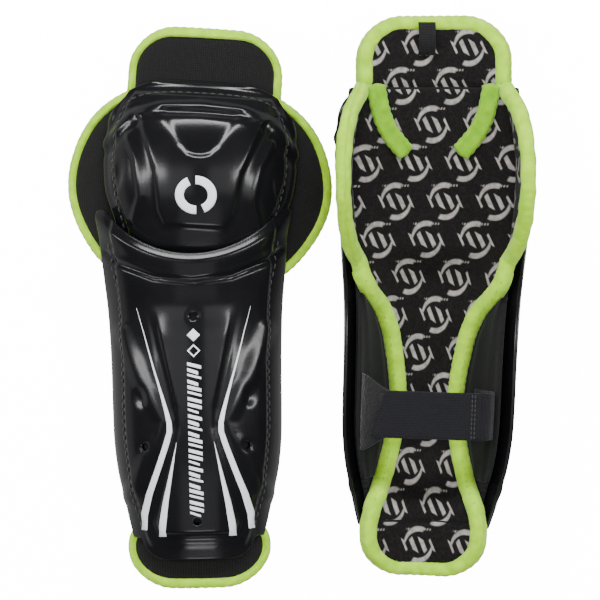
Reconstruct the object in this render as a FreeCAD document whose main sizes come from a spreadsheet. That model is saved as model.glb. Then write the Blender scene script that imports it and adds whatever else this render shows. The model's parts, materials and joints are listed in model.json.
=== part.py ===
"""A pair of junior ice-hockey shin guards, lying side by side on a flat surface.

The left guard lies on its open back, with its caps facing up. The right guard lies face down, so that
its lined inside, its binding and its calf strap face up. Both are made from the same pieces.

Guard frame, in millimetres: +X across, +Y along the leg towards the thigh, +Z out through the front.
Each piece is built once in the guard frame, then a clone of it is placed for each guard.
Row frame: +Z up, origin on the resting surface, at the middle of the pair's footprint.
"""
import FreeCAD
import Part
import math
import os

import Sketcher
from FreeCAD import Placement, Rotation, Vector

DIMENSIONS = {
    # hard shells and padding layers
    "shell_thick": 2.5,
    "shell_corner": 14,
    "shell_gap": 0.8,
    "layer_gap": 0.3,
    "backing_thick": 4.5,
    "backing_setback": 3.2,
    "liner_thick": 9,
    "binding_wide": 8.2,
    "binding_gap": 1,
    "calf_panel_thick": 4,
    "calf_panel_gap": 1.2,
    "calf_panel_setback": 8.6,
    "vent_radius": 2.5,
    "vent_upper_y": -5,
    "vent_lower_y": -141,
    "side_vent_x": 34,
    "side_vent_y": -91,
    "cradle_y": 36,
    "cradle_radius": 76,
    # knee: the liner is an arc of constant section, which the cap and foam cup stand on
    "knee_liner_crest": 48,
    "knee_liner_radius": 92.7,
    "knee_liner_half": 55,
    "knee_liner_bottom": 31,
    "knee_liner_top": 136.5,
    "knee_foam_thick": 10,
    "knee_foam_half": 42,
    "knee_hinge_y": 27,
    "knee_hinge_z": 18,
    # wings: a chord along the hinge and an arc for the free edge
    "wing_hinge_x": 57.5,
    "wing_hinge_z": 23,
    "wing_middle_y": 82,
    "wing_reach": 34,
    "wing_radius": 65,
    "wing_root": 2,
    "wing_thick": 8,
    # top flap
    "flap_root_y": 142,
    "flap_top_y": 185,
    "flap_half": 50.5,
    "flap_crest": 47,
    "flap_radius": 92.7,
    "flap_corner": 24,
    "flap_thick": 9,
    "flap_hinge_y": 139.2,
    "flap_hinge_z": 36,
    "loop_wide": 12,
    "loop_thick": 1.2,
    "loop_reach": 18,
    "loop_height": 4.6,
    "notch_long": 44,
    "notch_wide": 12,
    "notch_thick": 2.6,
    "notch_x": 26,
    "notch_y": 112,
    "notch_z": 31.6,
    "notch_splay": 27,
    "notch_roll": 18,
    # tongue over the instep
    "tongue_root_y": -150,
    "tongue_end_y": -186,
    "tongue_half": 46,
    "tongue_crest": 38,
    "tongue_radius": 60,
    "tongue_corner": 22,
    "tongue_thick": 8,
    "tongue_hinge_y": -146,
    "tongue_hinge_z": 27,
    # calf strap
    "strap_y": -76,
    "strap_wide": 30,
    "strap_thick": 2,
    "strap_level": 4,
    "strap_root_x": 43,
    "strap_root_z": 12.4,
    "anchor_thick": 1.6,
    "anchor_start_x": 40.5,
    "anchor_end_x": 33,
    "anchor_gap": 2,
    "strap_seam_x": 31.7,
    "tab_end_upper_x": 30,
    "tab_end_lower_x": 38,
    "hook_thick": 1.2,
    "hook_start_x": 6,
    "hook_margin": 3,
    "loop_panel_thick": 1.5,
    "loop_panel_start_x": 4,
    "loop_panel_wall_x": 40,
    "loop_panel_wall_z": 16.5,
    "loop_panel_flare_up": 8,
    "loop_panel_flare_down": 11,
    # stitches
    "stitch_long": 3.6,
    "stitch_radius": 0.45,
    "stitch_pitch": 5.4,
    "stitch_clear": 0.15,
    "cap_seam_bottom": 72,
    "cap_seam_top": 136,
    "cap_seam_edge": 0.09,
    "cap_top_seam_y": 142,
    "cap_top_seam_share": 0.8,
    "shin_seam_bottom": -128,
    "shin_seam_top": 14,
    "shin_seam_edge": 0.13,
    # how the two guards lie
    "left_x": -70.4,
    "left_y": -3,
    "left_z": -4,
    "left_turn": 1,
    "left_lean": -4.3,
    "left_wing_droop": 26,
    "right_x": 87.4,
    "right_y": 2,
    "right_z": 71.5,
    "right_turn": -2,
    "right_lean": -2,
    "right_pitch": 4.3,
    "right_wing_droop": 75,
}

# Cross-sections along the leg: position, height of the crest, half width and height of the two edges.
STATION_FIELDS = ("y", "crest", "half", "rim")
STATIONS = {
    "shin": (
        (64, 74.5, 63.5, 34),
        (43, 72.8, 62, 31),
        (22, 70.5, 60, 27.5),
        (0, 67, 58, 22),
        (-22, 66, 57, 18),
        (-45, 66, 56.5, 16),
        (-68, 65.5, 56.3, 14.8),
        (-90, 64.3, 55.6, 14.5),
        (-112, 62, 52.8, 15.5),
        (-128, 59.3, 49, 17.5),
        (-142, 56, 45, 22),
        (-153, 53, 41, 26.5),
        (-164, 49.5, 37, 31),
    ),
    "cap": (
        (147, 52, 42, 43),
        (136, 64, 53.5, 36.5),
        (122, 72.3, 60, 30.5),
        (106, 76.5, 62.5, 28.5),
        (90, 78, 62.5, 28),
        (74, 77, 57.5, 30.5),
        (58, 73.5, 52, 35),
        (42, 68, 49, 38.5),
        (27, 60, 44, 42),
    ),
}
# Half width of the shin liner over its binding, at the shin stations that it passes.
LINER_HALF = {2: 50, 3: 44, 4: 31, 5: 27.5, 6: 26, 7: 27.6, 8: 32, 9: 35, 10: 36.5}

doc = FreeCAD.newDocument("hockey_shin_guards")
sheet = doc.addObject("Spreadsheet::Sheet", "Dims")


def fill_sheet():
    """One row for each driving dimension: its name, and its value in a cell with that alias."""
    rows = dict(DIMENSIONS)
    for family, stations in STATIONS.items():
        for index, values in enumerate(stations):
            for field, value in zip(STATION_FIELDS, values):
                rows[f"{family}{index}_{field}"] = value
    for index, value in LINER_HALF.items():
        rows[f"liner{index}_half"] = value
    for row, (alias, value) in enumerate(rows.items(), 1):
        sheet.set(f"A{row}", alias)
        sheet.set(f"B{row}", str(value))
        sheet.setAlias(f"B{row}", alias)
    doc.recompute()


fill_sheet()


def dim(alias):
    return float(sheet.get(alias))


def value_of(formula):
    """The number that a formula of sheet aliases gives, so that a sketch starts where its formulas put it."""
    return float(sheet.evalExpression(formula.replace("Dims.", "")))


def origin_plane(body, role):
    return next(f for f in body.Origin.OriginFeatures if f.Role == role)


def new_body(label):
    body = doc.addObject("PartDesign::Body", label)
    body.Label = label
    return body


def new_sketch(body, role, level="0"):
    """An empty sketch on one of the body's own planes. level is how far along the plane's row axis it lies."""
    sketch = body.newObject("Sketcher::SketchObject", "Sketch")
    sketch.AttachmentSupport = (origin_plane(body, role), [""])
    sketch.MapMode = "FlatFace"
    sign = "-" if role == "XZ_Plane" else ""
    sketch.setExpression(".AttachmentOffset.Base.z", f"{sign}({level})")
    return sketch


def bind(sketch, kind, *geometry, formula):
    """A dimension constraint that follows a formula of sheet cells."""
    at = sketch.addConstraint(Sketcher.Constraint(kind, *geometry, value_of(formula)))
    sketch.setExpression(f"Constraints[{at}]", formula)


def sector_sketch(body, level, crest, radius, inset, thick, start, end):
    """A slice of a ring across the leg. Its outer arc lies inset inside a circle of the given radius whose top
    is at crest, and runs from x = start to x = end. Every argument but the body is a formula."""
    sketch = new_sketch(body, "XZ_Plane", level)
    middle = f"({crest}) - ({radius})"
    outer = f"({radius}) - ({inset})"
    inner = f"{outer} - ({thick})"
    height, out, inn = value_of(middle), value_of(outer), value_of(inner)
    first = math.acos(value_of(end) / out)
    last = math.acos(value_of(start) / out)
    centre = Vector(0, height, 0)

    def on_arc(size, angle):
        return centre + Vector(size * math.cos(angle), size * math.sin(angle), 0)

    for size in (out, inn):
        circle = Part.Circle(centre, Vector(0, 0, 1), size)
        sketch.addGeometry(Part.ArcOfCircle(circle, first, last))
    for angle in (last, first):
        sketch.addGeometry(Part.LineSegment(on_arc(out, angle), on_arc(inn, angle)))
    sketch.addConstraint(
        [
            Sketcher.Constraint("Coincident", 2, 1, 0, 2),
            Sketcher.Constraint("Coincident", 2, 2, 1, 2),
            Sketcher.Constraint("Coincident", 3, 1, 0, 1),
            Sketcher.Constraint("Coincident", 3, 2, 1, 1),
            Sketcher.Constraint("Coincident", 0, 3, 1, 3),
            Sketcher.Constraint("PointOnObject", 0, 3, -2),
            Sketcher.Constraint("PointOnObject", 0, 3, 2),
            Sketcher.Constraint("PointOnObject", 0, 3, 3),
        ]
    )
    bind(sketch, "Radius", 0, formula=outer)
    bind(sketch, "Radius", 1, formula=inner)
    bind(sketch, "DistanceY", -1, 1, 0, 3, formula=middle)
    bind(sketch, "DistanceX", -1, 1, 0, 1, formula=end)
    bind(sketch, "DistanceX", -1, 1, 0, 2, formula=start)
    return sketch


def polygon_sketch(body, role, points, level="0"):
    """A closed outline of straight sides, whose corners are pairs of formulas."""
    sketch = new_sketch(body, role, level)
    corners = [Vector(value_of(x), value_of(y), 0) for x, y in points]
    count = len(corners)
    for i in range(count):
        sketch.addGeometry(Part.LineSegment(corners[i], corners[(i + 1) % count]))
    for i in range(count):
        sketch.addConstraint(Sketcher.Constraint("Coincident", i, 2, (i + 1) % count, 1))
    for i, (x, y) in enumerate(points):
        bind(sketch, "DistanceX", -1, 1, i, 1, formula=x)
        bind(sketch, "DistanceY", -1, 1, i, 1, formula=y)
    return sketch


def circle_sketch(body, centres, radius):
    """Circles in the plan view of the guard."""
    sketch = new_sketch(body, "XY_Plane")
    for i, (x, y) in enumerate(centres):
        at = Vector(value_of(x), value_of(y), 0)
        sketch.addGeometry(Part.Circle(at, Vector(0, 0, 1), value_of(radius)))
        bind(sketch, "Radius", i, formula=radius)
        bind(sketch, "DistanceX", -1, 1, i, 3, formula=x)
        bind(sketch, "DistanceY", -1, 1, i, 3, formula=y)
    return sketch


def station(family, index):
    """Formulas for one cross-section: its place, crest and radius."""
    name = f"Dims.{family}{index}"
    rise = f"({name}_crest - {name}_rim)"
    radius = f"({name}_half^2 + {rise}^2) / (2 * {rise})"
    return f"{name}_y", f"{name}_crest", radius


def add_loft(body, family, inset, thick, spans, ruled):
    """Lofts one layer through stations. spans maps a station's index to its start and end formulas. Shells
    are smooth. Soft layers are ruled, so that they lie evenly on each other."""
    sketches = []
    for index, (start, end) in spans.items():
        level, crest, radius = station(family, index)
        sketches.append(sector_sketch(body, level, crest, radius, inset, thick, start, end))
    loft = body.newObject("PartDesign::AdditiveLoft", "Loft")
    loft.Profile = sketches[0]
    loft.Sections = sketches[1:]
    loft.Ruled = ruled
    doc.recompute()
    return loft


def layer_loft(label, family, inset, thick, spans, ruled=True):
    body = new_body(label)
    add_loft(body, family, inset, thick, spans, ruled)
    return body


def add_pad(body, sketch, length, reverse=False):
    pad = body.newObject("PartDesign::Pad", "Pad")
    pad.Profile = sketch
    pad.setExpression("Length", length)
    pad.Reversed = reverse
    doc.recompute()
    return pad


def cut_through(body, sketch):
    """Pockets a sketch through the whole piece, both ways, and checks that it took something away."""
    before = body.Shape.Volume
    pocket = body.newObject("PartDesign::Pocket", "Pocket")
    pocket.Profile = sketch
    pocket.Type = "ThroughAll"
    pocket.Midplane = True
    doc.recompute()
    if body.Shape.Volume >= before:
        raise ValueError(f"{body.Label}: the pocket cut nothing")
    return pocket


def round_corners(body, at_y, radius):
    """Fillets the corners of a plate that lie at one position along the leg. Both arguments are formulas."""
    plate = body.Tip
    names = []
    for i, edge in enumerate(plate.Shape.Edges, 1):
        straight = edge.Curve.TypeId == "Part::GeomLine"
        if straight and all(abs(v.Y - value_of(at_y)) < 0.01 for v in edge.Vertexes):
            names.append(f"Edge{i}")
    fillet = body.newObject("PartDesign::Fillet", "Corners")
    fillet.Base = (plate, names)
    fillet.setExpression("Radius", radius)
    doc.recompute()


def symmetric(half):
    return (f"-({half})", half)


# Hard shells -------------------------------------------------------------------------------------


def make_knee_cap():
    spans = {i: symmetric(f"Dims.cap{i}_half") for i in range(len(STATIONS["cap"]))}
    return layer_loft("knee_cap", "cap", "0", "Dims.shell_thick", spans, ruled=False)


def make_shin_shell():
    """The shell with its round cradle for the knee cap and its vent holes."""
    spans = {i: symmetric(f"Dims.shin{i}_half") for i in range(len(STATIONS["shin"]))}
    body = layer_loft("shin_shell", "shin", "0", "Dims.shell_thick", spans, ruled=False)
    cradle = [("0", "Dims.cradle_y + Dims.cradle_radius")]
    cut_through(body, circle_sketch(body, cradle, "Dims.cradle_radius"))
    vents = [
        ("0", "Dims.vent_upper_y"),
        ("0", "Dims.vent_lower_y"),
        ("Dims.side_vent_x", "Dims.side_vent_y"),
        ("-Dims.side_vent_x", "Dims.side_vent_y"),
    ]
    cut_through(body, circle_sketch(body, vents, "Dims.vent_radius"))
    round_corners(body, "Dims.shin12_y", "Dims.shell_corner")
    return body


# Padding under the shells ------------------------------------------------------------------------

BACKING_INSET = "(Dims.shell_thick + Dims.shell_gap)"
LINER_INSET = f"({BACKING_INSET} + Dims.backing_thick + Dims.layer_gap)"


def make_backing_foam():
    spans = {
        i: symmetric(f"(Dims.shin{i}_half - Dims.backing_setback)") for i in LINER_HALF
    }
    return layer_loft("backing_foam", "shin", BACKING_INSET, "Dims.backing_thick", spans)


def make_knee_foam():
    spans = {i: symmetric("Dims.knee_foam_half") for i in range(2, 7)}
    inset = "(Dims.shell_thick + Dims.shell_gap)"
    return layer_loft("knee_foam", "cap", inset, "Dims.knee_foam_thick", spans)


def make_knee_liner():
    body = new_body("knee_liner")
    sketch = sector_sketch(
        body,
        "Dims.knee_liner_bottom",
        "Dims.knee_liner_crest",
        "Dims.knee_liner_radius",
        "0",
        "Dims.liner_thick",
        "-Dims.knee_liner_half",
        "Dims.knee_liner_half",
    )
    add_pad(body, sketch, "Dims.knee_liner_top - Dims.knee_liner_bottom", reverse=True)
    return body


def make_shin_liner():
    edge = "Dims.binding_wide + Dims.binding_gap"
    spans = {i: symmetric(f"(Dims.liner{i}_half - {edge})") for i in LINER_HALF}
    return layer_loft("shin_liner", "shin", LINER_INSET, "Dims.liner_thick", spans)


def side_spans(side, inner, outer, indices):
    """Spans on the side of the leg that side gives, from an inner to an outer distance."""
    pick = (lambda a, b: (a, b)) if side > 0 else (lambda a, b: (f"-({b})", f"-({a})"))
    return {i: pick(inner(i), outer(i)) for i in indices}


def make_shin_binding(side, label):
    spans = side_spans(
        side,
        lambda i: f"(Dims.liner{i}_half - Dims.binding_wide)",
        lambda i: f"Dims.liner{i}_half",
        LINER_HALF,
    )
    return layer_loft(label, "shin", LINER_INSET, "Dims.liner_thick", spans)


def make_calf_panel(side, label):
    spans = side_spans(
        side,
        lambda i: f"(Dims.liner{i}_half + Dims.calf_panel_gap)",
        lambda i: f"(Dims.shin{i}_half - Dims.calf_panel_setback)",
        range(3, 10),
    )
    return layer_loft(label, "shin", LINER_INSET, "Dims.calf_panel_thick", spans)


# Wings, flap and tongue --------------------------------------------------------------------------


def wing_sketch(body, outer, inner=None):
    """The free edge of a wing is an arc about a point behind its root. With inner, only the ring between
    the two arcs is taken."""
    sketch = new_sketch(body, "XY_Plane", "-Dims.wing_thick / 2")
    centre_x = "Dims.wing_reach - Dims.wing_radius"
    centre = Vector(value_of(centre_x), dim("wing_middle_y"), 0)
    run = dim("wing_root") - centre.x
    arcs = []
    for radius in filter(None, (outer, inner)):
        size = value_of(radius)
        rise = math.sqrt(size**2 - run**2)
        angle = math.atan2(rise, run)
        arcs.append((Vector(dim("wing_root"), centre.y + rise, 0),
                     Vector(dim("wing_root"), centre.y - rise, 0)))
        circle = Part.Circle(centre, Vector(0, 0, 1), size)
        sketch.addGeometry(Part.ArcOfCircle(circle, -angle, angle))
    if inner:
        for top in (0, 1):
            sketch.addGeometry(Part.LineSegment(arcs[0][top], arcs[1][top]))
        joins = ((2, 1, 0, 2), (2, 2, 1, 2), (3, 1, 0, 1), (3, 2, 1, 1))
    else:
        sketch.addGeometry(Part.LineSegment(arcs[0][0], arcs[0][1]))
        joins = ((1, 1, 0, 2), (1, 2, 0, 1))
    for join in joins:
        sketch.addConstraint(Sketcher.Constraint("Coincident", *join))
    for line in range(len(arcs), sketch.GeometryCount):
        sketch.addConstraint(Sketcher.Constraint("Vertical", line))
    if inner:
        sketch.addConstraint(Sketcher.Constraint("Coincident", 0, 3, 1, 3))
        bind(sketch, "Radius", 1, formula=inner)
        bind(sketch, "DistanceX", -1, 1, 3, 1, formula="Dims.wing_root")
    bind(sketch, "Radius", 0, formula=outer)
    bind(sketch, "DistanceX", -1, 1, 0, 3, formula=centre_x)
    bind(sketch, "DistanceY", -1, 1, 0, 3, formula="Dims.wing_middle_y")
    bind(sketch, "DistanceX", -1, 1, len(arcs), 1, formula="Dims.wing_root")
    return sketch


def make_wing():
    body = new_body("wing")
    radius = "Dims.wing_radius - Dims.binding_wide - Dims.binding_gap"
    add_pad(body, wing_sketch(body, radius), "Dims.wing_thick")
    return body


def make_wing_binding():
    body = new_body("wing_binding")
    inner = "Dims.wing_radius - Dims.binding_wide"
    add_pad(body, wing_sketch(body, "Dims.wing_radius", inner), "Dims.wing_thick")
    return body


def end_flap(prefix, label, far_edge, bound):
    """The padded middle of the top flap or the tongue or, with bound, its binding round three sides."""
    upward = prefix == "flap"
    back = "-" if upward else "+"
    root, far = f"Dims.{prefix}_root_y", f"Dims.{far_edge}"
    full, corner = f"Dims.{prefix}_half", f"Dims.{prefix}_corner"
    band = "0" if bound else "(Dims.binding_wide + Dims.binding_gap)"
    half, end = f"({full} - {band})", f"({far} {back} {band})"
    body = new_body(label)
    sketch = sector_sketch(
        body,
        root,
        f"Dims.{prefix}_crest",
        f"Dims.{prefix}_radius",
        "0",
        f"Dims.{prefix}_thick",
        f"-{half}",
        half,
    )
    add_pad(body, sketch, f"abs({end} - {root})", reverse=upward)
    round_corners(body, end, f"{corner} - {band}")
    if bound:
        cut_round_bay(body, f"({full} - Dims.binding_wide)", root, far, back, corner)
    return body


def cut_round_bay(body, inner, root, far, back, corner):
    """Clears the middle out of a binding: a bay, open at the root, with two round corners at its far end."""
    radius = f"({corner} - Dims.binding_wide)"
    start, stop = f"({root} {back} 1)", f"({far} {back} Dims.binding_wide)"
    shoulder = f"({stop} {back} {radius})"
    for half, end in ((inner, shoulder), (f"({inner} - {radius})", stop)):
        outline = [(f"-{half}", start), (half, start), (half, end), (f"-{half}", end)]
        cut_through(body, polygon_sketch(body, "XY_Plane", outline))
    centres = [(f"{sign}({inner} - {radius})", shoulder) for sign in ("-", "+")]
    cut_through(body, circle_sketch(body, centres, radius))


def make_hang_loop():
    """A folded loop of webbing: a flat ring in side view."""
    body = new_body("hang_loop")
    top = "(Dims.flap_top_y - Dims.binding_wide + 3)"
    level = "(Dims.flap_crest - Dims.flap_thick - 0.5)"
    wall = "Dims.loop_thick"

    def box(margin):
        y0, y1 = f"({top} - Dims.loop_reach + {margin})", f"({top} - {margin})"
        z0, z1 = f"({level} - Dims.loop_height + {margin})", f"({level} - {margin})"
        return [(y0, z0), (y1, z0), (y1, z1), (y0, z1)]

    sketch = polygon_sketch(body, "YZ_Plane", box("0"), "-Dims.loop_wide / 2")
    add_pad(body, sketch, "Dims.loop_wide")
    cut_through(body, polygon_sketch(body, "YZ_Plane", box(wall)))
    return body


def make_notch_binding(side, label):
    """The taped edge of the slit between the flap and a wing, which lies on the liner's inner face."""
    box = doc.addObject("Part::Box", label)
    box.Label = label
    for side_name, alias in (
        ("Length", "notch_wide"),
        ("Width", "notch_long"),
        ("Height", "notch_thick"),
    ):
        box.setExpression(side_name, f"Dims.{alias}")
    turn = Rotation(Vector(0, 0, 1), -side * dim("notch_splay"))
    roll = Rotation(Vector(0, 1, 0), side * dim("notch_roll"))
    middle = Vector(dim("notch_wide"), dim("notch_long"), dim("notch_thick")) / 2
    at = Vector(side * dim("notch_x"), dim("notch_y"), dim("notch_z"))
    rotation = roll * turn
    box.Placement = Placement(at - rotation.multVec(middle), rotation)
    return box


# Calf strap --------------------------------------------------------------------------------------

STRAP_TOP = "(Dims.strap_y + Dims.strap_wide / 2)"
STRAP_END = "(Dims.strap_y - Dims.strap_wide / 2)"


def make_strap_anchor():
    """The end of the elastic that is sewn flat to the outer calf panel."""
    body = new_body("strap_anchor")
    _, crest, radius = station("shin", 6)
    inset = f"({LINER_INSET} + Dims.calf_panel_thick + Dims.anchor_gap)"
    sketch = sector_sketch(
        body,
        STRAP_TOP,
        crest,
        radius,
        inset,
        "Dims.anchor_thick",
        "-Dims.anchor_start_x",
        "-Dims.anchor_end_x",
    )
    add_pad(body, sketch, "Dims.strap_wide")
    return body


def make_strap_elastic():
    """The bend of the elastic, from its sewn end to the seam with the tab."""
    body = new_body("strap_elastic")
    low, high = "Dims.strap_level", "(Dims.strap_level + Dims.strap_thick)"
    seam = "-(Dims.strap_seam_x + 0.2)"
    corner = "-(Dims.strap_root_x - 5)"
    root = "Dims.strap_root_x"
    rise = "Dims.strap_root_z"
    outline = [
        (seam, low),
        (seam, high),
        (f"{corner} + 1", high),
        (f"-({root} - 2)", f"{rise} - 1"),
        (f"-{root}", f"{rise} - 1"),
        (f"{corner} - 1", low),
    ]
    sketch = polygon_sketch(body, "XZ_Plane", outline, STRAP_TOP)
    add_pad(body, sketch, "Dims.strap_wide")
    return body


def slanted(start, upper, lower, margin):
    """An outline in plan as wide as the strap less a margin, with a slanted far end."""
    top, bottom = f"({STRAP_TOP} - {margin})", f"({STRAP_END} + {margin})"
    return [
        (start, top),
        (f"({upper} - {margin})", top),
        (f"({lower} - {margin})", bottom),
        (start, bottom),
    ]


def make_strap_tab():
    body = new_body("strap_tab")
    outline = slanted(
        "-Dims.strap_seam_x", "Dims.tab_end_upper_x", "Dims.tab_end_lower_x", "0"
    )
    sketch = polygon_sketch(body, "XY_Plane", outline, "Dims.strap_level")
    add_pad(body, sketch, "Dims.strap_thick")
    return body


HOOK_LEVEL = "(Dims.strap_level + Dims.strap_thick + 0.1)"


def make_hook_patch():
    body = new_body("hook_patch")
    outline = slanted(
        "Dims.hook_start_x",
        "Dims.tab_end_upper_x",
        "Dims.tab_end_lower_x",
        "Dims.hook_margin",
    )
    sketch = polygon_sketch(body, "XY_Plane", outline, HOOK_LEVEL)
    add_pad(body, sketch, "Dims.hook_thick")
    return body


def make_loop_panel():
    """The wedge of loop fabric that the hook patch closes on, rising along the inner calf panel."""
    body = new_body("loop_panel")
    low = f"({HOOK_LEVEL} + Dims.hook_thick + 0.4)"
    thick = "Dims.loop_panel_thick"
    wall, top = "Dims.loop_panel_wall_x", "Dims.loop_panel_wall_z"
    start = "Dims.loop_panel_start_x"
    profile = [
        (start, low),
        (f"{wall} - 1", low),
        (f"{wall} + 2.6", f"{low} + 4"),
        (f"{wall} + 2", top),
        (f"{wall} + 0.4", f"{top} - 0.2"),
        (f"{wall} + 1", f"{low} + 4.6"),
        (f"{wall} - 1.8", f"{low} + {thick}"),
        (start, f"{low} + {thick}"),
    ]
    sketch = polygon_sketch(body, "XZ_Plane", profile, f"{STRAP_TOP} + Dims.loop_panel_flare_up")
    add_pad(body, sketch, "Dims.strap_wide + Dims.loop_panel_flare_up + Dims.loop_panel_flare_down + 1")
    far = f"({wall} + 4)"
    upper, lower = f"({STRAP_TOP} + Dims.loop_panel_flare_up)", f"({STRAP_END} - Dims.loop_panel_flare_down)"
    for near, away, reach in ((STRAP_TOP, upper, "+ 2"), (STRAP_END, lower, "- 2")):
        triangle = [
            (f"{start} - 1", near),
            (far, away),
            (far, f"{away} {reach}"),
            (f"{start} - 1", f"{away} {reach}"),
        ]
        cut_through(body, polygon_sketch(body, "XY_Plane", triangle))
    return body


# Stitches ----------------------------------------------------------------------------------------


def stitch_row(shell, path):
    """Short lengths of thread that lie along a path just clear of a shell's outer face."""
    radius, clear = dim("stitch_radius"), dim("stitch_clear")
    solids = []
    for here, after in zip(path, path[1:]):
        middle = (here + after) / 2
        distance, pairs, _ = shell.distToShape(Part.Vertex(middle))
        on_shell = pairs[0][0]
        normal = (middle - on_shell).normalize()
        along = (after - here).normalize()
        along = (along - normal * along.dot(normal)).normalize()
        start = on_shell + normal * (radius + clear) - along * (dim("stitch_long") / 2)
        solids.append(Part.makeCylinder(radius, dim("stitch_long"), start, along))
    return solids


def side_path(family, side, low, high, angle_in):
    """Points outside a shell, one stitch pitch apart along the leg, a little in from one of its edges."""
    stations = sorted(STATIONS[family])
    count = int((high - low) / dim("stitch_pitch"))
    points = []
    for i in range(count + 1):
        y = low + i * (high - low) / count
        below = max(s for s in stations if s[0] <= y)
        above = min(s for s in stations if s[0] >= y)
        share = 0 if above == below else (y - below[0]) / (above[0] - below[0])
        crest, half, rim = (below[k] + share * (above[k] - below[k]) for k in (1, 2, 3))
        rise = crest - rim
        radius = (half**2 + rise**2) / (2 * rise)
        angle = math.asin(min(1, half / radius)) - angle_in
        out = radius + 6
        points.append(
            Vector(side * out * math.sin(angle), y, crest - radius + out * math.cos(angle))
        )
    return points


def cross_path(family, index, y, share):
    """Points outside a shell across the leg at one of its ends."""
    _, crest, half, rim = STATIONS[family][index]
    rise = crest - rim
    radius = (half**2 + rise**2) / (2 * rise)
    limit = math.asin(half / radius) * share
    count = int(2 * limit * radius / dim("stitch_pitch"))
    out = radius + 6
    return [
        Vector(
            out * math.sin(limit * (2 * i / count - 1)),
            y,
            crest - radius + out * math.cos(limit * (2 * i / count - 1)),
        )
        for i in range(count + 1)
    ]


def make_stitching(label, shell, paths):
    solids = []
    for path in paths:
        solids.extend(stitch_row(shell.Shape, path))
    feature = doc.addObject("Part::Feature", label)
    feature.Label = label
    feature.Shape = Part.makeCompound(solids)
    return feature


# Assembly ----------------------------------------------------------------------------------------


def make_masters():
    """Every piece of one guard, in the guard frame, and the group that it moves with."""
    knee_cap, shin_shell = make_knee_cap(), make_shin_shell()
    cap_run = (dim("cap_seam_bottom"), dim("cap_seam_top"), dim("cap_seam_edge"))
    shin_run = (dim("shin_seam_bottom"), dim("shin_seam_top"), dim("shin_seam_edge"))
    knee_rows = [side_path("cap", side, *cap_run) for side in (-1, 1)]
    knee_rows.append(cross_path("cap", 1, dim("cap_top_seam_y"), dim("cap_top_seam_share")))
    shin_rows = [side_path("shin", side, *shin_run) for side in (-1, 1)]
    wing, wing_binding = make_wing(), make_wing_binding()
    return {
        "shin": {
            "shin_shell": shin_shell,
            "shin_stitching": make_stitching("shin_stitching", shin_shell, shin_rows),
            "backing_foam": make_backing_foam(),
            "shin_liner": make_shin_liner(),
            "outer_shin_binding": make_shin_binding(-1, "outer_shin_binding"),
            "inner_shin_binding": make_shin_binding(1, "inner_shin_binding"),
            "outer_calf_panel": make_calf_panel(-1, "outer_calf_panel"),
            "inner_calf_panel": make_calf_panel(1, "inner_calf_panel"),
            "strap_anchor": make_strap_anchor(),
            "loop_panel": make_loop_panel(),
        },
        "knee": {
            "knee_cap": knee_cap,
            "knee_stitching": make_stitching("knee_stitching", knee_cap, knee_rows),
            "knee_foam": make_knee_foam(),
            "knee_liner": make_knee_liner(),
            "outer_notch_binding": make_notch_binding(-1, "outer_notch_binding"),
            "inner_notch_binding": make_notch_binding(1, "inner_notch_binding"),
        },
        "flap": {
            "top_flap": end_flap("flap", "top_flap", "flap_top_y", False),
            "top_flap_binding": end_flap("flap", "top_flap_binding", "flap_top_y", True),
            "hang_loop": make_hang_loop(),
        },
        "outer_wing": {"outer_wing": wing, "outer_wing_binding": wing_binding},
        "inner_wing": {"inner_wing": wing, "inner_wing_binding": wing_binding},
        "tongue": {
            "tongue": end_flap("tongue", "tongue", "tongue_end_y", False),
            "tongue_binding": end_flap("tongue", "tongue_binding", "tongue_end_y", True),
        },
        "strap": {
            "strap_elastic": make_strap_elastic(),
            "strap_tab": make_strap_tab(),
            "hook_patch": make_hook_patch(),
        },
    }


def guard_placement(guard):
    """How a guard lies in the row frame."""
    at = Vector(dim(f"{guard}_x"), dim(f"{guard}_y"), dim(f"{guard}_z"))
    turn = Rotation(Vector(0, 0, 1), dim(f"{guard}_turn"))
    if guard == "left":
        return Placement(at, turn)
    pitch = Rotation(Vector(1, 0, 0), dim("right_pitch"))
    return Placement(at, turn * pitch * Rotation(Vector(0, 1, 0), 180))


def knee_placement(guard):
    """The knee's sideways lean, about a point on the knee hinge."""
    pivot = Vector(0, dim("knee_hinge_y"), 0)
    return Placement(Vector(), Rotation(Vector(0, 0, 1), dim(f"{guard}_lean")), pivot)


def wing_placement(guard, side):
    """A wing at its hinge, drooping from level by the guard's angle."""
    droop = dim(f"{guard}_wing_droop")
    angle = droop if side > 0 else 180 - droop
    at = Vector(side * dim("wing_hinge_x"), 0, dim("wing_hinge_z"))
    return Placement(at, Rotation(Vector(0, 1, 0), angle))


def group_placement(guard, group):
    base = guard_placement(guard)
    if group in ("shin", "tongue", "strap"):
        return base
    knee = base * knee_placement(guard)
    if group == "outer_wing":
        return knee * wing_placement(guard, -1)
    if group == "inner_wing":
        return knee * wing_placement(guard, 1)
    return knee


def place_copy(master, label, placement):
    """A clone of a finished piece, in a body of its own."""
    if master.TypeId == "PartDesign::Body":
        clone = doc.addObject("PartDesign::Body", label)
        base = doc.addObject("PartDesign::FeatureBase", "Clone")
        base.BaseFeature = master
        clone.Group = [base]
        clone.Tip = base
        clone.Placement = placement
    else:
        clone = doc.addObject("Part::Feature", label)
        clone.Shape = master.Shape.copy()
        clone.Placement = placement * master.Placement
    clone.Label = label
    return clone


def check(objects):
    for item in doc.Objects:
        if "Invalid" in item.State or "Error" in item.State:
            raise ValueError(f"{item.Label} failed: {item.State}")
    for item in objects:
        if item.Shape.isNull() or not item.Shape.isValid() or not item.Shape.Solids:
            raise ValueError(f"{item.Label} has no valid solid")


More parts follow.
